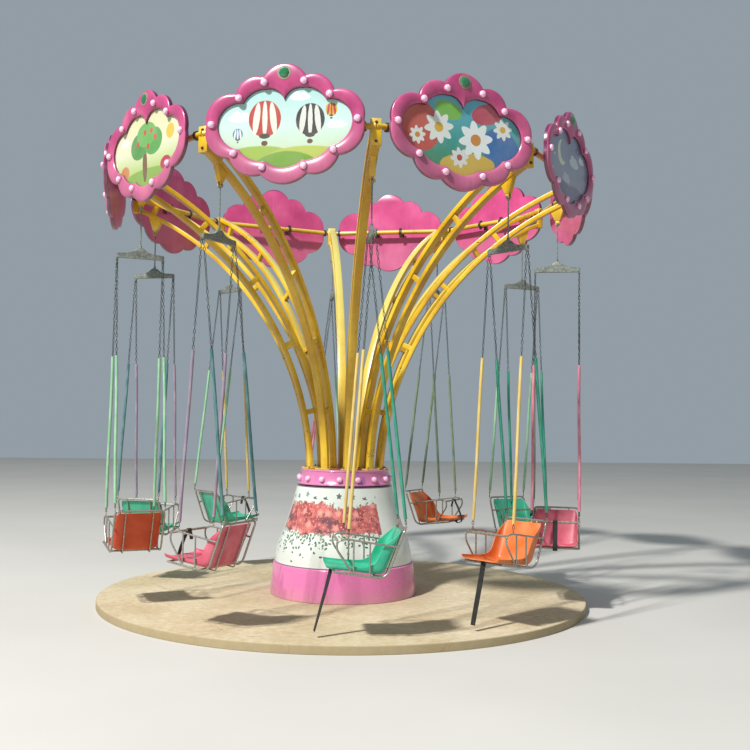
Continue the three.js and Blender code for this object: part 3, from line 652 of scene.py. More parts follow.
def across(shape, x):
    """A flat skin stood upright in the station's plane: its a, b and c become y, z and x."""
    return moved(shape, (x, 0, 0), [[0, 1, 0], [0, 0, 1], [1, 0, 0]])


def gusset_shape():
    """The folded gusset: a trapezoid from the lower rail down to the ears. Its top edge follows the rail's
    slope there, which is the height's change over the arc between two radii."""
    reach, foot = 0.075, 0.023
    left, right = [
        on_arc(LOWER_ARC, angle_at_reach(LOWER_ARC, HOOK_RADIUS + side))[2] for side in (-reach, reach)
    ]
    outline = np.array([[-foot, GUSSET_FOOT], [foot, GUSSET_FOOT], [reach, right], [-reach, left]])
    return across(plate(outline + [HOOK_RADIUS, 0], GUSSET_WIDTH, 0.004), -GUSSET_WIDTH / 2)


def ear_shape(x):
    """One ear of the hook: a plate with a half round foot about the pin."""
    foot = arc((HOOK_RADIUS, PIVOT_HEIGHT), EAR_RADIUS, 180, 360, 9)
    top = [[HOOK_RADIUS + EAR_RADIUS, EAR_TOP], [HOOK_RADIUS - EAR_RADIUS, EAR_TOP]]
    outline = np.concatenate([foot, top])
    return across(plate(outline, EAR_THICKNESS, 0.001), x - EAR_THICKNESS / 2)


def arm_shape():
    """One arm in its station's frame: two rails, rungs in even steps of the lower rail's angle between them,
    the foot plate, gusset and two ears."""
    first = angle_at_height(LOWER_ARC, COLLAR_TOP - RAIL_DEPTH)
    last = angle_at_reach(LOWER_ARC, TIP_RADIUS + RAIL_DEPTH)
    parts = [rail(LOWER_ARC), rail(UPPER_ARC)]
    for i in range(RUNGS):
        angle = first + (last - first) * (i + RUNG_START) / RUNG_SPACES
        ends = on_arc(np.array([LOWER_ARC + RUNG_WELD, UPPER_ARC - RUNG_WELD]), angle)
        parts.append(block(ends, RUNG, RUNG, 0.004))
    parts.append(moved(plate(FOOT_OUTLINE, FOOT_THICKNESS), (0, 0, COLLAR_TOP + SEAT_GAP)))
    return joined(parts + [gusset_shape(), ear_shape(-EAR_PLACE), ear_shape(EAR_PLACE)])


def yellow_enamel():
    """Gloss alkyd enamel brushed on steel: golden yellow, with painted light: lemon on top where the light
    falls and a painted brown shade below, as the normal's height goes from 0.10 to 0.65 and from -0.1 to
    -0.8. It has brush waves 12 mm apart, grime in long streaks and rust chips of 10 mm."""
    material, tree, shader, place = new_material(
        "yellow_alkyd_enamel_brushed", IOR=1.5, Coat_Weight=0.35, Coat_Roughness=0.2
    )
    drift = add_node(tree, "TexNoise", place, Scale=2.6, Detail=4.0)
    golden = add_node(tree, "ValToRGB", drift, stops=[(0.3, "#BE920C"), (0.5, "#DAAE18"), (0.7, "#E8C53A")])
    streaks = add_node(tree, "Mapping", place, Scale=(1.0, 1.0, 0.25))
    grime = add_node(tree, "TexNoise", streaks, Scale=28.0, Detail=6.0, Roughness=0.7)
    soiled = laid_over(tree, golden, "#7E5C10", grime, (0.5, 0.85), (0.0, 0.55))
    # painted light: faces turned up are tinted lemon as if sunlit, and faces turned down brown as if shaded
    normal = add_node(tree, "TexCoord", output="Normal")
    facing = add_node(tree, "SeparateXYZ", normal, output="Z")
    sunlit_top_tint = laid_over(tree, soiled, "#C8C470", facing, (0.10, 0.65), (0.0, 0.75))
    shaded = laid_over(tree, sunlit_top_tint, "#94661C", facing, (-0.10, -0.80), (0.0, 0.6))
    spots = add_node(tree, "TexNoise", place, Scale=75.0, Detail=3.0)
    where = add_node(tree, "TexNoise", place, Scale=4.0, Detail=1.0)
    chance = add_node(tree, "Math", spots, where, operation="MULTIPLY")
    chip = add_node(tree, "MapRange", chance, From_Min=0.43, From_Max=0.45)
    chipped = add_node(tree, "Mix", chip, shaded, "#6B4020", data_type="RGBA")
    rough = add_node(tree, "MapRange", grime, From_Min=0.3, From_Max=0.8, To_Min=0.22, To_Max=0.5)
    brush = add_node(tree, "TexNoise", place, Scale=80.0, Detail=2.0)
    relief = add_node(tree, "Math", chip, -0.8, brush, operation="MULTIPLY_ADD")
    bump = add_node(tree, "Bump", Strength=0.35, Distance=0.0008, Height=relief)
    fill(shader, Base_Color=chipped, Roughness=rough, Normal=bump)
    return material


def zinc_steel(name, light, dark, rust):
    """Zinc plated or galvanised steel that has stood outdoors: grey and half dull, the spangle 15 mm across,
    with brown bloom where the zinc has gone."""
    material, tree, shader, place = new_material(name, Metallic=0.85)
    spangle = add_node(tree, "TexVoronoi", place, Scale=65.0)
    grey = add_node(tree, "ValToRGB", spangle, stops=[(0.1, dark), (0.7, light)])
    bloom = add_node(tree, "TexNoise", place, Scale=24.0, Detail=5.0, Roughness=0.7)
    colour = laid_over(tree, grey, "#6E4A30", bloom, (0.66 - rust, 0.86 - rust), (0.0, 0.8))
    rough = add_node(tree, "MapRange", bloom, From_Min=0.35, From_Max=0.75, To_Min=0.34, To_Max=0.7)
    fill(shader, Base_Color=colour, Roughness=rough)
    return material


def arm_fasteners():
    """Bolts of one arm: four on the foot plate and the hook's pin with its head and nut."""
    pivot = np.array([0, HOOK_RADIUS, PIVOT_HEIGHT])
    bolts = [
        stood(hex_bolt(*FOOT_BOLT), (side * x, y, FOOT_TOP), (0, 0, 1))
        for x, y in FOOT_BOLTS for side in (-1, 1)
    ]
    bolts.append(stood(drum(0.003, PIN_RADIUS, -PIN_HALF, PIN_HALF, 14), pivot, (1, 0, 0)))
    for side in (-1, 1):
        face = side * (EAR_PLACE + EAR_THICKNESS / 2 + SEAT_GAP)
        bolts.append(stood(hex_bolt(*PIN_BOLT), pivot + [face, 0, 0], (side, 0, 0)))
    return joined(bolts)


enamel = yellow_enamel()
bolt_zinc = zinc_steel("zinc_plated_bolts", "#9A9C9A", "#6F7270", 0.08)
arm = arm_shape()
for i, number in enumerate(NUMBERS):
    make_piece(f"arm_ladder_{number}", at_station(arm, i), enamel, "rotor", f"arm_{number}", "yellow_paint")
make_piece("arm_bolts", all_round(arm_fasteners()), bolt_zinc, "rotor", slot="galvanised_steel")


# Tip ring
# Straight lengths of round pipe between the arms' tips, with a thick plate at each tip that the ladder's
# rails are welded to, in the arms' yellow enamel. Bolted flanges join the lengths, in old dark paint.
PIPE_HEIGHT, PIPE_RADIUS = 3.858, 0.0245
PIPE_LINE = TIP_RADIUS * math.cos(STATION_ANGLE / 2)     # the pipes' distance from the ride's axis
PIPE_HALF = TIP_RADIUS * math.sin(STATION_ANGLE / 2)
PLATE_WIDTH, PLATE_FOOT, PLATE_TOP = 0.084, 3.712, 3.915
PLATE_BOLTS = [3.745, 3.885]
FLANGE_RADIUS, FLANGE_HALF, FLANGE_BOLTS = 0.036, 0.005, 0.030
FLANGE_PLACES = [0.094, 0.083]     # from the pipe's end, a pair with a joint of 1 mm between
FLANGE_BOLT, PLATE_BOLT = (0.0055, 0.006), (0.011, 0.010, 0.006)


def tip_ring_shape():
    """Ten pipes between the tips and ten bevelled plates."""
    pipe = drum(0.006, PIPE_RADIUS, 0, 2 * PIPE_HALF, 24)
    pipe = stood(pipe, (-PIPE_HALF, PIPE_LINE, PIPE_HEIGHT), (1, 0, 0))
    outline = rounded_box(PLATE_WIDTH, PLATE_OUTSIDE - PLATE_INSIDE, 0.004)
    post = plate(outline, PLATE_TOP - PLATE_FOOT, 0.003)
    post = moved(post, (0, (PLATE_OUTSIDE + PLATE_INSIDE) / 2, PLATE_FOOT))
    return joined([all_round(pipe, 0.5), all_round(post)])


def tip_ring_flanges():
    """A pair of flanges near both ends of each pipe with four bolts through them, and two bolts through each
    tip plate."""
    flange = drum(0.01, FLANGE_RADIUS, -FLANGE_HALF, FLANGE_HALF, 24)
    bay = []
    for side in (-1, 1):
        for place in FLANGE_PLACES:
            bay.append(stood(flange, (side * (PIPE_HALF - place), PIPE_LINE, PIPE_HEIGHT), (1, 0, 0)))
        outside = side * (PIPE_HALF - FLANGE_PLACES[0] - FLANGE_HALF)
        for y, z in arc((PIPE_LINE, PIPE_HEIGHT), FLANGE_BOLTS, 45, 315, 4):
            bay.append(stood(hex_bolt(*FLANGE_BOLT), (outside, y, z), (-side, 0, 0)))
    bolts = [stood(hex_bolt(*PLATE_BOLT), (0, PLATE_OUTSIDE, z), (0, 1, 0)) for z in PLATE_BOLTS]
    return joined([all_round(joined(bay), 0.5), all_round(joined(bolts))])


def weathered_paint():
    """Flanges and clamps in old brown black enamel, dull and chalky, with rust in patches 25 mm across."""
    material, tree, shader, place = new_material("dark_alkyd_enamel_weathered", IOR=1.5)
    rust = add_node(tree, "TexNoise", place, Scale=40.0, Detail=6.0, Roughness=0.7)
    browns = [(0.3, "#2A201C"), (0.5, "#48322A"), (0.62, "#66442E"), (0.75, "#80603E")]
    rough = add_node(tree, "MapRange", rust, From_Min=0.4, From_Max=0.65, To_Min=0.4, To_Max=0.8)
    bump = add_node(tree, "Bump", Strength=0.4, Distance=0.0008, Height=rust)
    fill(shader, Base_Color=add_node(tree, "ValToRGB", rust, stops=browns), Roughness=rough, Normal=bump)
    return material


make_piece("tip_ring_pipes", tip_ring_shape(), enamel, "rotor", "tip_ring", "yellow_paint")
dark_paint = weathered_paint()
make_piece("tip_ring_flanges", tip_ring_flanges(), dark_paint, "rotor")


# Panels
# Ten cloud shaped signs of glass fibre, pink gelcoat with a rounded frame round a recessed picture. Each
# stands off its pipe on two clamped brackets. Ten lamp caps sit in the frame and a glass gem on its crown.
PANEL_CENTRE = 3.872
PANEL_BACK, PANEL_FRONT, PANEL_POCKET = PIPE_LINE + 0.089, PIPE_LINE + 0.134, 0.034
# Right half of the outline, from the top: each lobe ends at x, z and bulges out by the third value.
OUTLINE_LOBES = [
    [0.165, 0.355, 0.096], [0.378, 0.235, 0.056], [0.606, 0.010, 0.088], [0.418, -0.248, 0.077],
    [0.178, -0.377, 0.056], [-0.178, -0.377, 0.075],
]
OPENING_LOBES = [
    [0.141, 0.264, 0.030], [0.319, 0.166, 0.030], [0.517, 0.008, 0.057], [0.350, -0.180, 0.046],
    [0.141, -0.275, 0.030], [-0.141, -0.275, 0.051],
]
OPENING_NOTCH = 0.178
LOBE_STEPS = 12
CREST = 0.40     # where the frame is highest, as a share of the way from the outline to the opening
ROLL_RISE, ROLL_FALL = 0.014, 0.026
GEM_HEIGHT, GEM_RADIUS = 0.378, 0.043
PANEL_LAMP_RADIUS, PANEL_LAMP_REACH = 0.026, 0.026
CLAMP_PLACE, CLAMP_HALF, CLAMP_WALL = 0.145, 0.015, 0.007
CLAMP_EAR, CLAMP_EAR_HALF, CLAMP_EAR_LIFT = (0.022, 0.030), 0.009, 0.014
CLAMP_BOLT, BRACKET_BOLT = (0.0075, 0.007, 0.004), (0.006, 0.005)
BRACKET_TUBE = (0.040, 0.030, 0.004)     # width, height and corner
BRACKET_FOOT, FOOT_BOLT_X, FOOT_BOLT_Z = (0.060, 0.090, 0.008), 0.021, 0.034
PRINT_TONE = (0.70, 0.75, 0.73)     # share of a print's red, green and blue that is left


def lobe(start, end, bulge, steps):
    """Points on the arc over a chord whose middle stands out by a bulge. Its radius is c^2 / 8b + b / 2."""
    start, end = np.array(start, float), np.array(end, float)
    chord = np.linalg.norm(end - start)
    radius = chord**2 / (8 * bulge) + bulge / 2
    half = math.asin(min(1.0, chord / (2 * radius)))
    out = np.array([start[1] - end[1], end[0] - start[0]]) / chord
    turn = math.atan2(out[1], out[0]) + half * (1 - 2 * np.arange(steps) / steps)
    return (start + end) / 2 - out * (radius - bulge) + radius * np.stack([np.cos(turn), np.sin(turn)], -1)


def lobed_outline(lobes, notch=None):
    """The whole outline, clockwise from its top left cusp: the top lobe, which a notch splits in two, the
    right half's lobes, the bottom lobe and the mirrored right half."""
    x, z, bulge = lobes[0]
    top = [(-x, z), (x, z)] if notch is None else [(-x, z), (0, notch), (x, z)]
    steps = 2 * LOBE_STEPS // (len(top) - 1)
    crown = [lobe(a, b, bulge, steps) for a, b in zip(top, top[1:])]
    right = [lobe(a[:2], b[:2], b[2], LOBE_STEPS) for a, b in zip(lobes, lobes[1:])]
    left = [np.append(part[1:], [end[:2]], 0)[::-1] * [-1, 1] for part, end in zip(right[:-1], lobes[1:])]
    return np.concatenate(crown + right + left[::-1])


def panel_shape():
    """A panel in its bay's frame: rings from its back round the frame to the picture's edge, each between the
    outline and the opening by a share s, at outline + s (opening - outline). The frame rises to its crest on
    a quarter ellipse and falls to the recess on another."""
    outline, opening = lobed_outline(OUTLINE_LOBES), lobed_outline(OPENING_LOBES, OPENING_NOTCH)
    rings = [(0.03, PANEL_BACK), (0.0, PANEL_BACK + 0.003), (0.0, PANEL_FRONT - ROLL_RISE)]
    rise, fall = np.radians(np.linspace(15, 90, 6)), np.radians(np.linspace(18, 90, 5))
    rings += [(CREST * (1 - math.cos(t)), PANEL_FRONT - ROLL_RISE * (1 - math.sin(t))) for t in rise]
    rings += [(CREST + (1 - CREST) * math.sin(t), PANEL_FRONT - ROLL_FALL * (1 - math.cos(t))) for t in fall]
    rings += [(1.0, PANEL_FRONT - PANEL_POCKET)]
    share, y = np.array(rings).T
    flat = outline[:, None] + share[None, :, None] * (opening - outline)[:, None]
    points = np.stack([flat[..., 0], np.broadcast_to(y, flat.shape[:2]), flat[..., 1] + PANEL_CENTRE], -1)
    xyz, corners, counts, _ = capped(points)
    uv = xyz[corners][:, [0, 2]] * [-1, 1] - [0, PANEL_CENTRE]
    # frame 0, picture 1, edges 2, back 3: the side and the slope into the recess are edges, in painted shade
    of_ring = np.zeros(len(rings) - 1)
    of_ring[[0, 1, -2, -1]] = 2
    return (xyz, corners, counts, uv), np.append(np.tile(of_ring, len(outline)), [3, 1])


def bracket_shape():
    """The two brackets of a panel: a round clamp in two halves with ears above and below and a bolt through
    each pair, a square tube out to the panel's back, and a foot plate there with four bolts."""
    clamp = drum(PIPE_RADIUS + 0.0005, PIPE_RADIUS + CLAMP_WALL, -CLAMP_HALF, CLAMP_HALF, 28)
    parts = [stood(clamp, (0, PIPE_LINE, PIPE_HEIGHT), (1, 0, 0))]
    for side in (-1, 1):
        level = PIPE_HEIGHT + side * (PIPE_RADIUS + CLAMP_EAR_LIFT)
        inner, outer = [[0, PIPE_LINE + half, level] for half in (-CLAMP_EAR_HALF, CLAMP_EAR_HALF)]
        parts += [block([inner, outer], *CLAMP_EAR), stood(hex_bolt(*CLAMP_BOLT), inner, (0, -1, 0))]
    tube_ends = [[0, PIPE_LINE + PIPE_RADIUS + 0.002, PIPE_HEIGHT], [0, PANEL_BACK - 0.003, PIPE_HEIGHT]]
    parts.append(block(tube_ends, *BRACKET_TUBE))
    foot = plate(rounded_box(*BRACKET_FOOT), 0.006)
    parts.append(stood(foot, (0, PANEL_BACK + 0.001, PIPE_HEIGHT), (0, -1, 0)))
    for z in (PIPE_HEIGHT - FOOT_BOLT_Z, PIPE_HEIGHT + FOOT_BOLT_Z):
        for x in (-FOOT_BOLT_X, FOOT_BOLT_X):
            parts.append(stood(hex_bolt(*BRACKET_BOLT), (x, PANEL_BACK - 0.005, z), (0, -1, 0)))
    return joined([moved(joined(parts), (x, 0, 0)) for x in (-CLAMP_PLACE, CLAMP_PLACE)])


def facing_out(shape, places):
    """A skin that stands along +Z, put on a panel's front face at several places, along +Y."""
    return joined([stood(shape, (x, PANEL_FRONT - 0.001, PANEL_CENTRE + z), (0, 1, 0)) for x, z in places])


def panel_gelcoat(name, deep, plain, faded):
    """Pink gelcoat of the frames: its gloss half gone, faded in patches of 300 mm, with wine red run-down
    streaks and chalky dust on the lower half. At the edges it is a deeper magenta, as painted shade."""
    material, tree, shader, place = new_material(
        name, Roughness=0.3, IOR=1.5, Coat_Weight=0.3, Coat_Roughness=0.16
    )
    fade = add_node(tree, "TexNoise", place, Scale=3.5, Detail=4.0)
    pink = add_node(tree, "ValToRGB", fade, stops=[(0.3, deep), (0.5, plain), (0.7, faded)])
    tall = add_node(tree, "Mapping", place, Scale=(1.0, 1.0, 0.12))
    runs = add_node(tree, "TexNoise", tall, Scale=40.0, Detail=4.0)
    streaked = laid_over(tree, pink, "#7A2448", runs, (0.56, 0.8), (0.0, 0.35))
    height = add_node(tree, "SeparateXYZ", place, output="Z")
    low = (PANEL_CENTRE + 0.05, PANEL_CENTRE - 0.20)
    powdered = laid_over(tree, streaked, "#B28E96", height, low, (0.0, 0.22))
    fill(shader, Base_Color=powdered, Normal=orange_peel(tree, place, 7.0, 200.0))
    return material


def painted(tree, uv, colour, ellipses):
    """Paints ellipses over a colour, in order: each is x, y, half width, half height, turn in degrees and hex
    colour, and covers where the length of the turned and scaled place is under 1, with an edge 4% soft."""
    for x, y, wide, tall, turn, paint in ellipses:
        turn = (0, 0, math.radians(turn))
        local = add_node(tree, "Mapping", uv, (x, y, 0), turn, (wide, tall, 1), vector_type="TEXTURE")
        away = add_node(tree, "VectorMath", local, operation="LENGTH")
        colour = laid_over(tree, colour, paint, away, (1.02, 0.98))
    return colour


def balloon(x, y, size, cloth, gore):
    """The ellipses of a hot air balloon: cloth, two gores, mouth and basket."""
    return [
        (x, y, size, 1.1 * size, 0, cloth), (x - 0.52 * size, y, 0.2 * size, 0.98 * size, -7, gore),
        (x + 0.52 * size, y, 0.2 * size, 0.98 * size, 7, gore), (x, y, 0.16 * size, 1.08 * size, 0, gore),
        (x, y - 1.05 * size, 0.34 * size, 0.16 * size, 0, "#4A3A3A"),
        (x, y - 1.48 * size, 0.2 * size, 0.16 * size, 0, "#6B4428"),
    ]


def cloud(x, y, size, colour):
    """The ellipses of a small cloud: a flat one with two humps."""
    humps = [(0, 0, 1.6, 0.5), (-0.5, 0.35, 0.7, 0.55), (0.5, 0.3, 0.6, 0.45)]
    return [(x + a * size, y + b * size, wide * size, tall * size, 0, colour) for a, b, wide, tall in humps]


def daisy(x, y, size, petal, heart):
    """The ellipses of a daisy: four long ones crossed for eight petals, and a round heart."""
    petals = [(x, y, size, 0.3 * size, 45 * i + 10, petal) for i in range(4)]
    return petals + [(x, y, 0.3 * size, 0.3 * size, 0, heart)]


def picture(name, backdrop, ellipses):
    """A printed picture sealed under clear gelcoat: glossy, gone dull in the sun, slightly dirty in patches.
    The backdrop's three colours lie from -0.3 m to +0.3 m, and outlines wander by 3 mm."""
    material, tree, shader, place = new_material(
        name, Roughness=0.28, IOR=1.5, Coat_Weight=0.4, Coat_Roughness=0.12
    )
    uv = add_node(tree, "UVMap")
    wander = add_node(tree, "TexNoise", uv, Scale=30.0, Detail=2.0, output="Color")
    drawn = add_node(tree, "VectorMath", wander, (0.006, 0.006, 0), uv, operation="MULTIPLY_ADD")
    level = add_node(tree, "SeparateXYZ", drawn, output="Y")
    height = add_node(tree, "MapRange", level, From_Min=-0.3, From_Max=0.3)
    ground = add_node(tree, "ValToRGB", height, stops=list(zip((0.15, 0.5, 0.85), backdrop)))
    film = add_node(tree, "TexNoise", place, Scale=7.0, Detail=5.0, Roughness=0.65)
    drawing = painted(tree, drawn, ground, ellipses)
    dirty = laid_over(tree, drawing, "#CFC6B4", film, (0.35, 0.75), (0.04, 0.22))
    fill(shader, Base_Color=add_node(tree, "VectorMath", dirty, PRINT_TONE, operation="MULTIPLY"))
    return material


PICTURES = {
    "balloons": picture("printed_film_balloons", ("#D8E8C0", "#DDF2EC", "#BFE6E4"), [
        (-0.28, -0.36, 0.42, 0.20, 8, "#A9C24C"), (0.26, -0.34, 0.44, 0.17, -6, "#C4CC58"),
        (0.02, -0.40, 0.30, 0.20, 0, "#7FA83C"), *cloud(-0.34, 0.06, 0.060, "#FFFFFF"),
        *cloud(0.12, 0.20, 0.050, "#FFFFFF"), *cloud(0.40, -0.02, 0.050, "#F4FAFA"),
        *balloon(-0.15, 0.05, 0.125, "#C8322E", "#F6EDE2"), *balloon(0.20, 0.03, 0.110, "#2C2C34", "#EFE8E0"),
        *balloon(0.36, 0.10, 0.045, "#E6B23A", "#C8322E"),
        *balloon(-0.36, -0.06, 0.040, "#3E7FB4", "#F6EDE2"),
    ]),
    "daisies": picture("printed_film_daisies", ("#2F8F6A", "#3AA7A6", "#5FB6D0"), [
        (-0.36, 0.02, 0.16, 0.20, 20, "#D2483C"), (0.34, -0.08, 0.17, 0.15, -30, "#2F6FB4"),
        (0.05, -0.24, 0.24, 0.09, 5, "#E4B93A"), (0.22, 0.17, 0.14, 0.08, 15, "#C83C5A"),
        (-0.12, 0.16, 0.12, 0.07, -10, "#7CBF4A"), *daisy(-0.20, 0.02, 0.125, "#F8F6F0", "#E8B52E"),
        *daisy(0.12, -0.04, 0.150, "#FFFFFF", "#E08A2A"), *daisy(-0.02, -0.19, 0.080, "#F3ECEC", "#C8322E"),
        *daisy(0.36, 0.07, 0.085, "#FBF7F2", "#E8B52E"), *daisy(-0.38, -0.06, 0.070, "#F6F2EA", "#E08A2A"),
    ]),
    "orchard": picture("printed_film_orchard", ("#B8CE6A", "#F2EBCB", "#EFE3B4"), [
        (0.0, -0.38, 0.60, 0.20, 0, "#8DB046"), (-0.02, -0.15, 0.035, 0.14, 4, "#7A4E2C"),
        (-0.12, 0.02, 0.13, 0.11, 0, "#4F9440"), (0.10, 0.03, 0.14, 0.11, 0, "#5AA34A"),
        (-0.01, 0.10, 0.15, 0.10, 0, "#6DB255"), (-0.14, 0.04, 0.022, 0.024, 0, "#D23A30"),
        (0.02, 0.00, 0.022, 0.024, 0, "#D23A30"), (0.13, 0.06, 0.022, 0.024, 0, "#E0483A"),
        (-0.03, 0.12, 0.022, 0.024, 0, "#D23A30"), (0.07, 0.12, 0.020, 0.022, 0, "#E0483A"),
        (0.36, 0.06, 0.060, 0.060, 0, "#F0C43C"), (-0.34, -0.17, 0.070, 0.060, 0, "#D9803A"),
        (0.30, -0.18, 0.080, 0.055, 0, "#C23A52"), *cloud(-0.34, 0.08, 0.045, "#FFFFFF"),
    ]),
    "moonlight": picture("printed_film_moonlight", ("#A59CB4", "#8F97B2", "#6F7BA4"), [
        (-0.24, -0.34, 0.36, 0.18, 6, "#5F5A84"), (0.26, -0.36, 0.40, 0.20, -8, "#74688E"),
        (-0.18, 0.07, 0.105, 0.105, 0, "#F4EFC8"), (-0.135, 0.095, 0.090, 0.090, 0, "#8790B0"),
        *cloud(0.14, 0.04, 0.075, "#D9DAE6"), *cloud(-0.06, -0.13, 0.060, "#C6C8DA"),
        *cloud(0.34, 0.10, 0.045, "#E4E4EC"), (0.02, 0.19, 0.012, 0.012, 0, "#FBF6D8"),
        (0.24, 0.17, 0.010, 0.010, 0, "#FBF6D8"), (-0.36, 0.02, 0.012, 0.012, 0, "#FBF6D8"),
        (-0.40, -0.10, 0.009, 0.009, 0, "#FBF6D8"),
    ]),
}
PANEL_PICTURES = [
    "daisies", "moonlight", "balloons", "orchard", "daisies", "moonlight", "balloons", "daisies", "orchard",
    "balloons",
]

frame_gelcoat = panel_gelcoat("pink_polyester_gelcoat_panel", "#9A3464", "#B24472", "#C66086")
# painted shade: the sides and the slope into the recess get a dark magenta copy of the frame's gelcoat
edge_shade_gelcoat = panel_gelcoat("pink_polyester_gelcoat_panel_edge_shade", "#4E1034", "#5E163E", "#6E204A")
back_gelcoat = panel_gelcoat("pink_polyester_gelcoat_panel_back", "#B63C70", "#CA4A80", "#D65E90")
gem_glass, *_ = new_material(
    "green_pressed_glass", Roughness=0.08, IOR=1.52, Base_Color="#1E6E42", Coat_Weight=1.0
)
gilt, *_ = new_material("tarnished_gilt_plastic_ring", Roughness=0.4, IOR=1.5, Base_Color="#8A7E6A")

panel_mesh, panel_faces = panel_shape()
for i, number in enumerate(NUMBERS):
    skins = [frame_gelcoat, PICTURES[PANEL_PICTURES[i]], edge_shade_gelcoat, back_gelcoat]
    sign = at_station(panel_mesh, i + 0.5)
    make_piece(f"panel_{number}_sign", sign, skins, "rotor", f"panel_{number}", "panel_gelcoat", panel_faces)

# A lamp stands midway between each cusp of the outline and the opening's cusp beside it, on both sides
cusps = (np.array(OUTLINE_LOBES[:-1]) + np.array(OPENING_LOBES[:-1]))[:, :2] / 2
lamp_places = np.concatenate([cusps, cusps * [-1, 1]])
crown = [(0, GEM_HEIGHT)]
# The gem is a rose cut, with two rows of eight facets under a flat table
gem = turned(np.array([[0.5, 0], [1, 0.001], [0.8, 0.012], [0.45, 0.018]]) * [GEM_RADIUS, 1], 8)
lamps = facing_out(cap_lamp(PANEL_LAMP_RADIUS, PANEL_LAMP_REACH), lamp_places)
make_piece("panel_lamps", all_round(lamps, 0.5), opal, "rotor")
seats = facing_out(lamp_seat(PANEL_LAMP_RADIUS), lamp_places)
make_piece("panel_lamp_seats", all_round(seats, 0.5), frame_gelcoat, "rotor", slot="panel_gelcoat")
make_piece("panel_gems", all_round(facing_out(gem, crown), 0.5), gem_glass, "rotor", sharp=10)
make_piece("panel_gem_rims", all_round(facing_out(lamp_seat(GEM_RADIUS), crown), 0.5), gilt, "rotor")
make_piece("panel_brackets", all_round(bracket_shape(), 0.5), dark_paint, "rotor")


# Hangers
# Under each arm a forged eye runs on the hook's pin. A threaded rod hangs from it and carries a cast bar,
# bell shaped in its middle, with rings bolted under each end for the chains. Old grey primer.
EYE_RADIUS, EYE_HOLE, EYE_THICKNESS = 0.020, 0.0079, 0.012
ROD_RADIUS = 0.006
BAR_FOOT, BAR_TOP, BAR_PEAK = 3.055, 3.096, 3.152
BAR_HALF_LENGTH, BAR_WIDTH, BAR_CORNER = 0.206, 0.034, 0.005
NUT_PLACES = [-0.001, 0.012]     # above the bar's peak
CHAIN_SIDE, CHAIN_SPREAD = 0.198, 0.010
END_RING = (0.0065, 0.0115, 0.005, 14)


def ring_solid(inner, outer, thickness, sides=24):
    """A flat ring with round edges, turned about +Z: its section is a superellipse |x|^4 + |y|^4 = 1 fitted
    to the ring's width and thickness."""
    turn = np.arange(12) * math.pi / 6
    c, s = np.cos(turn), np.sin(turn)
    r = (inner + outer) / 2 + (outer - inner) / 2 * np.sign(c) * np.sqrt(np.abs(c))
    z = thickness / 2 * np.sign(s) * np.sqrt(np.abs(s))
    angle = np.arange(sides)[:, None] * 2 * math.pi / sides
    points = np.stack([r * np.cos(angle), r * np.sin(angle), np.broadcast_to(z, (sides, 12))], -1)
    return skin(points, closed=True)


def hanger_shape():
    """A hanger in its chair's frame, on the rod's own line: bar, eye, rod, two nuts and four end rings."""
    half = BAR_HALF_LENGTH
    right = through([
        [half, BAR_TOP - 0.006], [half - 0.012, BAR_TOP], [0.150, BAR_TOP + 0.002], [0.104, BAR_TOP + 0.008],
        [0.058, BAR_TOP + 0.026], [0.024, BAR_PEAK - 0.003], [0, BAR_PEAK],
    ], 3)
    foot = [[-half + 0.004, BAR_FOOT], [half - 0.004, BAR_FOOT], [half, BAR_FOOT + BAR_CORNER]]
    outline = np.concatenate([foot, right, right[-2::-1] * [-1, 1], [[-half, BAR_FOOT + BAR_CORNER]]])
    parts = [across(plate(outline, BAR_WIDTH, 0.004), -BAR_WIDTH / 2)]
    parts.append(stood(ring_solid(EYE_HOLE, EYE_RADIUS, EYE_THICKNESS), (0, 0, PIVOT_HEIGHT), (1, 0, 0)))
    parts.append(drum(0.002, ROD_RADIUS, BAR_PEAK - 0.012, PIVOT_HEIGHT - EYE_RADIUS + 0.003, 14))
    nut = turned([[0.003, 0], [0.0125, 0], [0.0125, 0.008], [0.011, 0.010], [0.003, 0.010]], 6)
    parts += [moved(nut, (0, 0, BAR_PEAK + height)) for height in NUT_PLACES]
    for y in (-CHAIN_SIDE, CHAIN_SIDE):
        for x in (-CHAIN_SPREAD, CHAIN_SPREAD):
            parts.append(stood(ring_solid(*END_RING), (x, y, BAR_FOOT - 0.006), (1, 0, 0)))
    return joined(parts)


def grey_primer():
    """Cast steel in old grey primer, dull, scuffed to bare metal in spots of 20 mm and stained brown."""
    material, tree, shader, place = new_material("grey_zinc_primer_scuffed", Roughness=0.55, Metallic=0.25)
    scuff = add_node(tree, "TexNoise", place, Scale=45.0, Detail=5.0, Roughness=0.7)
    greys = [(0.3, "#50534E"), (0.5, "#757B72"), (0.66, "#8E948A"), (0.78, "#5E4A36")]
    bump = add_node(tree, "Bump", Strength=0.3, Distance=0.0005, Height=scuff)
    fill(shader, Base_Color=add_node(tree, "ValToRGB", scuff, stops=greys), Normal=bump)
    return material


def chair_piece(name, index, shape, materials, node=None, **finish):
    """Puts a skin in a chair's frame on the chair of a station, in place of that chair's own node."""
    number = NUMBERS[index]
    replaces = f"{node}_{number}" if node else None
    shape = at_station(shape, index, HOOK_RADIUS)
    make_piece(f"{name}_{number}", shape, materials, f"chair_{number}", replaces, **finish)


primer = grey_primer()
hanger = hanger_shape()
for i in range(STATIONS):
    chair_piece("hanger_bar", i, hanger, primer, "hanger", slot="galvanised_steel")


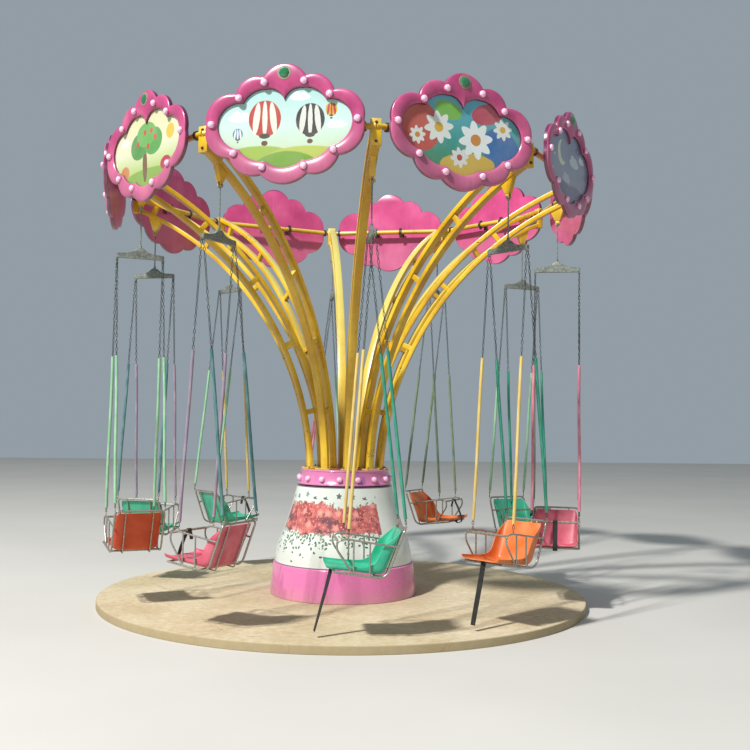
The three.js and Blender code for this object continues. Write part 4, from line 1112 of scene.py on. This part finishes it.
# Chains
# Four welded link chains to each chair, from the bar's end rings down to lugs on the seat's frame. Their
# lower half runs in plastic hose that keeps hands off the links, in one or two colours to a chair.
LINK_PITCH, LINK_WIRE, LINK_WIDTH = 0.030, 0.00275, 0.0195
SLEEVE_RADIUS, SLEEVE_BORE, SLEEVE_BOW = 0.0130, 0.0095, 0.003
SLEEVE_TOP, SLEEVE_FOOT = 2.20, 0.050
LINKS_IN_TOP, LINKS_IN_FOOT = 0.02, 0.018     # how far links run on inside a hose
UPPER_TWIST, TWIST_STEP, LOWER_TWIST = 0.05, 0.02, 0.1     # radians a link
CHAIN_TOP = BAR_FOOT - 0.010
FRONT_LUG, REAR_LUG = [0.160, 0.842], [-0.262, 0.912]
LUG_EYE = 0.004     # height at which a chain's last link hangs in its lug
FRAME_SIDE = 0.208


def link_shape():
    """A chain link along +Z: round wire bent to a stadium of two half circles joined by straight sides. Its
    wire has five sides and its bend twelve steps."""
    bend = LINK_WIDTH / 2 - LINK_WIRE
    straight = (LINK_PITCH + 2 * LINK_WIRE) / 2 - bend - LINK_WIRE
    turn = np.radians([0, 36, 72, 108, 144, 180])
    half = np.stack([bend * np.cos(turn), np.zeros(6), straight + bend * np.sin(turn)], -1)
    out = np.stack([np.cos(turn), np.zeros(6), np.sin(turn)], -1)
    centre, outwards = np.concatenate([half, half * [-1, 1, -1]]), np.concatenate([out, -out])
    around = np.arange(5)[:, None, None] * 2 * math.pi / 5
    return skin(centre + LINK_WIRE * (np.cos(around) * outwards + np.sin(around) * [0, 1, 0]), closed=True)


def chain_line(top, foot, twist):
    """Links along a straight chain: each stands a pitch past the last and is turned a quarter round the chain
    against it, with a slow twist on top."""
    run = np.linalg.norm(foot - top)
    along = (foot - top) / run
    side = np.array([0.0, 1.0, 0.0])
    other = np.cross(along, side)
    shape = link_shape()
    links = []
    for i in range(int(run / LINK_PITCH)):
        turn = math.pi / 4 + i * math.pi / 2 + twist * i
        one = side * math.cos(turn) + other * math.sin(turn)
        links.append(moved(shape, top + along * LINK_PITCH * (i + 0.5), [one, np.cross(along, one), along]))
    return joined(links)


def circle(radius, sides):
    """Points round a circle about the origin."""
    turn = np.arange(sides) * 2 * math.pi / sides
    return radius * np.stack([np.cos(turn), np.sin(turn)], -1)


def sleeve_line(top, foot):
    """A hose along a straight line, open at both ends: it bows aside by 3 mm times the sine of its run."""
    run = np.linspace(0, 1, 9)[:, None]
    path = foot + (top - foot) * run + np.array([0, SLEEVE_BOW, 0]) * np.sin(run * math.pi * 2)
    inside, outside = (carried(path, circle(r, 14), (0, 1, 0.2)) for r in (SLEEVE_BORE, SLEEVE_RADIUS))
    return capped(np.concatenate([inside[:, :1], outside, inside[:, -1:]], 1))


def at_height(top, foot, height):
    """The point of a line at a height: top + (foot - top) (top.z - height) / (top.z - foot.z)."""
    return top + (foot - top) * (top[2] - height) / (top[2] - foot[2])


def hose_plastic(name, colour, worn):
    """Soft PVC garden hose, satin, and paler with dust and wear in streaks 125 mm long."""
    material, tree, shader, place = new_material(name, Roughness=0.42, IOR=1.52)
    tall = add_node(tree, "Mapping", place, Scale=(1.0, 1.0, 0.2))
    dust = add_node(tree, "TexNoise", tall, Scale=40.0, Detail=4.0)
    fill(shader, Base_Color=add_node(tree, "ValToRGB", dust, stops=[(0.4, colour), (0.75, worn)]))
    return material


HOSE_COLOURS = {
    "teal": ("#1C8066", "#4C9C80"), "green": ("#7FB48C", "#A4C8A4"), "grey_green": ("#66785C", "#8C9A7C"),
    "yellow": ("#CEAE58", "#DCC88C"), "pink": ("#C46E84", "#D698A4"), "lilac": ("#8A7888", "#A898A4"),
    "slate": ("#3C6868", "#688C8A"),
}
# Front and rear hose of each chair
HOSE_PAIRS = [
    ("yellow", "teal"), ("yellow", "teal"), ("pink", "grey_green"), ("teal", "green"),
    ("grey_green", "grey_green"), ("green", "pink"), ("yellow", "green"), ("lilac", "slate"),
    ("green", "green"), ("lilac", "slate"),
]
hoses = {colour: hose_plastic(f"pvc_hose_{colour}", *pair) for colour, pair in HOSE_COLOURS.items()}
chain_zinc = zinc_steel("galvanised_link_chain", "#5E635F", "#3C403E", 0.05)

links, sleeves = [], []
for x, lug in ((CHAIN_SPREAD, FRONT_LUG), (-CHAIN_SPREAD, REAR_LUG)):
    for side in (-1, 1):
        top = np.array([x, side * CHAIN_SIDE, CHAIN_TOP])
        foot = np.array([lug[0], side * FRAME_SIDE, lug[1] + LUG_EYE])
        low = foot[2] + SLEEVE_FOOT
        twist = UPPER_TWIST + TWIST_STEP * len(sleeves)
        links.append(chain_line(top, at_height(top, foot, SLEEVE_TOP - LINKS_IN_TOP), twist))
        links.append(chain_line(at_height(top, foot, low + LINKS_IN_FOOT), foot, LOWER_TWIST))
        sleeves.append(sleeve_line(at_height(top, foot, SLEEVE_TOP), at_height(top, foot, low)))
pair_faces = np.repeat([0, 1], 2 * len(sleeves[0][2]))
links, sleeves = joined(links), joined(sleeves)
for i, pair in enumerate(HOSE_PAIRS):
    chair_piece("chain_links", i, links, chain_zinc, "hanger", slot="galvanised_steel")
    own_hoses = [hoses[colour] for colour in pair]
    chair_piece("chain_hoses", i, sleeves, own_hoses, "hanger", face_material=pair_faces)


# Chair frames
# Each chair is bent from round steel tube: one length runs from the front of the seat, up the back, over
# and down the other side, with armrest loops, uprights, a lap bar and cross bars welded in. Silver paint.
TUBE_RADIUS = 0.0085
SEAT_FRONT, SEAT_CORNER, BACK_TOP = [0.268, 0.585], [-0.122, 0.532], [-0.258, 0.893]
ARM_LOOP = [[0.122, 0.566], [0.250, 0.752], [0.236, 0.806], [0.182, 0.822], [-0.200, 0.762]]
ARM_TUBE, POST_TUBE, SEAT_BAR_TUBE, LAP_TUBE, BACK_BAR_TUBE = 0.0075, 0.0065, 0.0090, 0.0095, 0.006
POSTS = [0.120, 0.0]
SEAT_BARS = [0.258, -0.040]
LAP_BAR = [0.236, 0.806]
BACK_BARS = [-0.115, 0.115]
LUG_RING = (0.0035, 0.0095, 0.005, 14)
LUG_STEM = (0.012, 0.006, 0.001)     # width, depth and corner
FRAME_BENDS, LOOP_BENDS, BACK_BAR_BEND = [0.075, 0.045, 0.045, 0.075], [0.040, 0.022, 0.035], 0.012


def rounded(corners, radius, steps=6):
    """A route with its corners rounded: each becomes the curve c - r (1 - t)^2 a + r t^2 b, where a and b are
    the directions in and out of the corner c."""
    into, out = unit(corners[1:-1] - corners[:-2]), unit(corners[2:] - corners[1:-1])
    reach = np.broadcast_to(radius, len(corners) - 2)
    t = np.linspace(0, 1, steps + 1)[:, None]
    bends = [c - r * (1 - t) ** 2 * a + r * t**2 * b for c, r, a, b in zip(corners[1:-1], reach, into, out)]
    return np.concatenate([corners[:1], *bends, corners[-1:]])


def tube(path, radius, aside=(0, 1, 0), sides=12):
    """Round tube along a route, closed at its ends."""
    return capped(carried(np.asarray(path, float), circle(radius, sides), aside))


def cross_tube(x, z, radius):
    """A straight tube from side to side of the chair, at x and z."""
    return tube([[x, -FRAME_SIDE, z], [x, FRAME_SIDE, z]], radius, (1, 0, 0))


def upright(points, y):
    """A route in x and z, put at a distance y from the chair's middle."""
    return np.insert(np.asarray(points, float), 1, y, -1)


def rail_height(x):
    """Height of the seat rails: a straight line from the corner to the front."""
    slope = (SEAT_FRONT[1] - SEAT_CORNER[1]) / (SEAT_FRONT[0] - SEAT_CORNER[0])
    return SEAT_CORNER[1] + slope * (x - SEAT_CORNER[0])


def armrest_height(x):
    """Height of the armrests: a straight line from the front of the loop to the back."""
    (x0, z0), (x1, z1) = ARM_LOOP[-2:]
    return z0 + (z1 - z0) * (x - x0) / (x1 - x0)


def chair_frame_shape():
    """A chair's frame about the middle of the chair: the one long tube, then for each side the armrest loop,
    posts and lugs, and last the cross bars, the lap bar and the two bars behind the back."""
    side = [SEAT_FRONT, SEAT_CORNER, BACK_TOP]
    whole = np.concatenate([upright(side, -FRAME_SIDE), upright(side[::-1], FRAME_SIDE)])
    parts = [tube(rounded(whole, FRAME_BENDS), TUBE_RADIUS, (1, 0, 1))]
    for y in (-FRAME_SIDE, FRAME_SIDE):
        parts.append(tube(rounded(upright(ARM_LOOP, y), LOOP_BENDS), ARM_TUBE))
        parts += [tube(upright([[x, rail_height(x)], [x, armrest_height(x)]], y), POST_TUBE) for x in POSTS]
        for (x, z), foot in ((FRONT_LUG, armrest_height(FRONT_LUG[0])), (REAR_LUG, BACK_TOP[1])):
            parts.append(stood(ring_solid(*LUG_RING), (x, y, z - 0.003), (0, 1, 0)))
            stem = upright([[x, foot - 0.004], [x, z - 0.010]], y)
            parts.append(block(stem, *LUG_STEM, (0, 1, 0)))
    parts += [cross_tube(x, rail_height(x), SEAT_BAR_TUBE) for x in SEAT_BARS]
    parts.append(cross_tube(*LAP_BAR, LAP_TUBE))
    route = [[SEAT_BARS[1], rail_height(SEAT_BARS[1])], SEAT_CORNER, BACK_TOP]
    parts += [tube(rounded(upright(route, y), BACK_BAR_BEND, 3), BACK_BAR_TUBE, sides=8) for y in BACK_BARS]
    return joined(parts)


def silver_paint():
    """Steel tube in silver aluminium paint gone cream and dull, worn through to brown in specks of 15 mm."""
    material, tree, shader, place = new_material("aluminium_paint_worn", Metallic=0.6)
    wear = add_node(tree, "TexNoise", place, Scale=60.0, Detail=6.0, Roughness=0.7)
    creams = [(0.35, "#8C8A80"), (0.58, "#A6A296"), (0.70, "#928A7A"), (0.78, "#5E4832")]
    rough = add_node(tree, "MapRange", wear, From_Min=0.4, From_Max=0.75, To_Min=0.22, To_Max=0.5)
    fill(shader, Base_Color=add_node(tree, "ValToRGB", wear, stops=creams), Roughness=rough)
    return material


silver = silver_paint()
chair_frame = chair_frame_shape()
for i in range(STATIONS):
    chair_piece("chair_tubes", i, chair_frame, silver, "chair_frame", slot="frame_tube")


# Seat shells
# Bucket seats blow moulded in coloured plastic, 8 mm thick with a rounded rim. They lie on the frame's
# cross bars and are held down with two bolts through the floor.
SHELL_HALF_WIDTH = 0.1945
SHELL_THICKNESS = 0.0075
# Outside of the shell from its front lip to the top of its back: the floor's middle and the rim, x and z
SHELL_FLOOR = [
    [0.312, 0.606], [0.285, 0.5985], [0.190, 0.5848], [0.070, 0.5685], [-0.020, 0.5565], [-0.085, 0.5510],
    [-0.118, 0.5680], [-0.1345, 0.6000], [-0.1640, 0.6740], [-0.1950, 0.7560], [-0.2240, 0.8330],
    [-0.2385, 0.8720],
]
SHELL_RIM = [
    [0.318, 0.638], [0.292, 0.633], [0.195, 0.622], [0.070, 0.613], [-0.002, 0.620], [-0.044, 0.647],
    [-0.068, 0.687], [-0.086, 0.725], [-0.114, 0.768], [-0.154, 0.805], [-0.202, 0.844], [-0.2300, 0.8740],
]
SHELL_STEPS, SHELL_ACROSS, SHELL_SQUARENESS = 4, 30, 5.0
EDGE_BULGE = 0.35     # how far the round edge stands out, in thicknesses


def shell_shape():
    """A bucket seat: every cross section is a half superellipse |y / b|^n + (1 - h)^n = 1 between the floor
    curve, h = 0, and the rim curve, h = 1. Its inside lies a thickness away along the surface's normals."""
    floor, rim = through(SHELL_FLOOR, SHELL_STEPS), through(SHELL_RIM, SHELL_STEPS)
    turn = np.linspace(0, math.pi, 400)
    y = np.sign(np.cos(turn)) * np.abs(np.cos(turn)) ** (2 / SHELL_SQUARENESS)
    h = 1 - np.sin(turn) ** (2 / SHELL_SQUARENESS)
    # even steps along the section, whose width counts 3.5 times its height
    walk = np.append(0, np.cumsum(np.hypot(np.diff(y) * 3.5, np.diff(h))))
    even = np.linspace(0, walk[-1], SHELL_ACROSS + 1)
    y, h = np.interp(even, walk, y), np.interp(even, walk, h)
    # the shell narrows by 10% towards its top and by 4% at its front lip
    run = np.linspace(0, 1, len(floor))
    waist = 1 - 0.10 * np.clip((run - 0.8) / 0.2, 0, 1) ** 2 - 0.04 * np.clip((0.12 - run) / 0.12, 0, 1) ** 2
    outside = np.empty((len(y), len(floor), 3))
    outside[..., [0, 2]] = floor[None] + h[:, None, None] * (rim - floor)[None]
    outside[..., 1] = SHELL_HALF_WIDTH * y[:, None] * waist[None]
    over, along = np.gradient(outside, axis=0), np.gradient(outside, axis=1)
    inside = outside + SHELL_THICKNESS * unit(np.cross(along, over))
    middle, bulge = (outside + inside) / 2, SHELL_THICKNESS * EDGE_BULGE * unit(over)
    return capped(np.concatenate([outside[::-1], (middle - bulge)[:1], inside, (middle + bulge)[-1:]]))


def seat_plastic(name, colour, faded, dirt):
    """Polyethylene, blow moulded: satin with a fine grain of 1 mm, sun faded in patches of 120 mm, and
    scuffed and dirty in spots of 30 mm."""
    material, tree, shader, place = new_material(
        f"polyethylene_{name}", Roughness=0.38, IOR=1.51, Subsurface_Weight=0.05,
        Subsurface_Radius=(0.004, 0.003, 0.003), Subsurface_Scale=1.0,
    )
    patches = add_node(tree, "TexNoise", place, Scale=8.0, Detail=4.0)
    plain = add_node(tree, "ValToRGB", patches, stops=[(0.35, colour), (0.7, faded)])
    scuffs = add_node(tree, "TexNoise", place, Scale=32.0, Detail=6.0, Roughness=0.75)
    soiled = laid_over(tree, plain, dirt, scuffs, (0.56, 0.85), (0.0, 0.5))
    grain = add_node(tree, "TexNoise", place, Scale=900.0, Detail=1.0)
    bump = add_node(tree, "Bump", Strength=0.2, Distance=0.0003, Height=grain)
    fill(shader, Base_Color=soiled, Normal=bump)
    return material


def shell_fixings():
    """Two dome headed bolts on washers through the floor of a shell, over the frame's two cross bars."""
    washer = [[0.002, 0], [0.012, 0], [0.012, 0.0015]]
    dome = [[0.008, 0.002], [0.007, 0.005], [0.003, 0.0065]]
    bolt = turned(washer + dome, 14)
    on_floor = SEAT_BAR_TUBE + 0.0002 + SHELL_THICKNESS + 0.0022     # above the cross bars' middle lines
    return joined([stood(bolt, (x, 0, rail_height(x) + on_floor), (-0.135, 0, 1)) for x in SEAT_BARS])


SEAT_COLOURS = {
    "turquoise": ("#2AA680", "#50BA98", "#2E6E58"), "orange": ("#D86A2C", "#E08A54", "#84441E"),
    "pink": ("#C64860", "#D87482", "#743A46"), "red_orange": ("#BC3A12", "#CC5228", "#6A2A14"),
}
SEATS = [
    "turquoise", "orange", "pink", "turquoise", "orange", "pink", "turquoise", "turquoise", "red_orange",
    "pink",
]
plastics = {colour: seat_plastic(colour, *shades) for colour, shades in SEAT_COLOURS.items()}
shell, fixings = shell_shape(), shell_fixings()
for i, colour in enumerate(SEATS):
    chair_piece("seat_bucket", i, shell, plastics[colour], "seat_shell", slot=f"{colour}_seat", sharp=50)
    chair_piece("seat_bolts", i, fixings, bolt_zinc, slot="galvanised_steel")


# Straps
# A black nylon webbing strap is looped round the front bar of each seat. On the two front chairs it hangs
# free; on the others it is up over the lap bar, with its tail hanging down behind.
STRAP_WIDTH, STRAP_THICKNESS, STRAP_LOOP = 0.040, 0.005, 0.0125
STRAP_START = [0.258, 0.585]
HANGING_KEYS = [[0.272, 0.560], [0.304, 0.430], [0.346, 0.270], [0.386, 0.118]]
RISING_KEYS = [
    [0.262, 0.568], [0.300, 0.562], [0.332, 0.588], [0.322, 0.640], [0.285, 0.730], [0.2495, 0.795],
]
TAIL_KEYS = [[0.2215, 0.790], [0.214, 0.765], [0.208, 0.735]]
STRAP_TWIST = math.radians(38)
TWIST_START, TWIST_RISE, TWIST_EASE = 0.24, 0.10, 1.3     # in shares of the strap's run
STRAPS_HANGING = 2     # on the first chairs


def strap_shape(hanging):
    """A flat strap along a route in the chair's middle plane, with a loop round the bar it hangs from. One
    that hangs free is twisted: past the loop its broad side soon turns, and then slowly eases back."""
    path = arc(STRAP_START, STRAP_LOOP, 100, 420, 14)
    if hanging:
        path = np.concatenate([path, through(HANGING_KEYS, 8)])
    else:
        over_bar = arc(LAP_BAR, STRAP_LOOP, 0, 215, 10)
        path = np.concatenate([path, through(RISING_KEYS, 4)[1:-1], over_bar, through(TAIL_KEYS, 3)])
    section = rounded_box(STRAP_WIDTH, STRAP_THICKNESS, 0.0012, 2)
    run = np.linspace(0, 1, len(path))
    twist = STRAP_TWIST * np.clip((run - TWIST_START) / TWIST_RISE, 0, 1) * (TWIST_EASE - run) * hanging
    aside = np.stack([-np.sin(twist), np.cos(twist), np.zeros(len(path))], -1)
    return capped(carried(upright(path, 0.0), section[:, ::-1] * [1, -1], aside))


def black_webbing():
    """Nylon webbing: black gone grey with dust, matt, woven in ribs across the strap. The real ribs are too
    fine to show, so they are drawn 5 mm apart."""
    material, tree, shader, place = new_material(
        "nylon_webbing_black", Roughness=0.8, IOR=1.5, Sheen_Weight=0.1
    )
    weave = add_node(
        tree, "TexWave", place, output="Fac", bands_direction="Z", Scale=60.0, Distortion=1.0, Detail=1.0
    )
    dust = add_node(tree, "TexNoise", place, Scale=30.0, Detail=4.0)
    dusty = add_node(tree, "ValToRGB", dust, stops=[(0.4, "#0E0D0D"), (0.75, "#2A2622")])
    fill(shader, Base_Color=dusty, Normal=add_node(tree, "Bump", Strength=0.5, Distance=0.0006, Height=weave))
    return material


webbing = black_webbing()
for i in range(STATIONS):
    chair_piece("seat_strap", i, strap_shape(i < STRAPS_HANGING), webbing, "chair_frame")


# Studio
# A pale floor that the platform stands on, an even pale blue surround, a soft key light from high on the
# front left, like hazy sun, and a weak fill from the right.
STAGE_HALF = 30.0
SURROUND, SURROUND_STRENGTH = (0.76, 0.89, 1.0, 1.0), 0.38
LIGHTS = {"key_light": ((-12.7, -12.7, 20.6), 1.6, 10000), "fill_light": ((8.0, -6.0, 5.0), 6.0, 10)}
LIGHT_AIM = Vector((0, 0, 2))

stage_mesh = bpy.data.meshes.new("studio_floor")
stage_corners = [(x * STAGE_HALF, y * STAGE_HALF, 0) for x, y in ((-1, -1), (1, -1), (1, 1), (-1, 1))]
stage_mesh.from_pydata(stage_corners, [], [(0, 1, 2, 3)])
paper, paper_tree, paper_shader, paper_place = new_material("studio_paper", Roughness=0.9)
paper_grain = add_node(paper_tree, "TexNoise", paper_place, Scale=0.5, Detail=2.0)
paper_tone = add_node(paper_tree, "ValToRGB", paper_grain, stops=[(0.3, "#C2BEB6"), (0.7, "#C8C4BC")])
fill(paper_shader, Base_Color=paper_tone)
stage_mesh.materials.append(paper)
stage = in_scene("studio_floor", stage_mesh)

world = bpy.data.worlds.new("studio_surround")
world.use_nodes = True
fill(world.node_tree.nodes["Background"], Color=SURROUND, Strength=SURROUND_STRENGTH)
bpy.context.scene.world = world
bpy.context.scene.view_settings.view_transform = "Standard"

for name, (place, size, power) in LIGHTS.items():
    lamp_data = bpy.data.lights.new(name, "AREA")
    lamp_data.energy = power
    lamp_data.size = size
    lamp = in_scene(name, lamp_data)
    aim = (LIGHT_AIM - Vector(place)).to_track_quat("-Z", "Y")
    lamp.matrix_world = Matrix.Translation(place) @ aim.to_matrix().to_4x4()
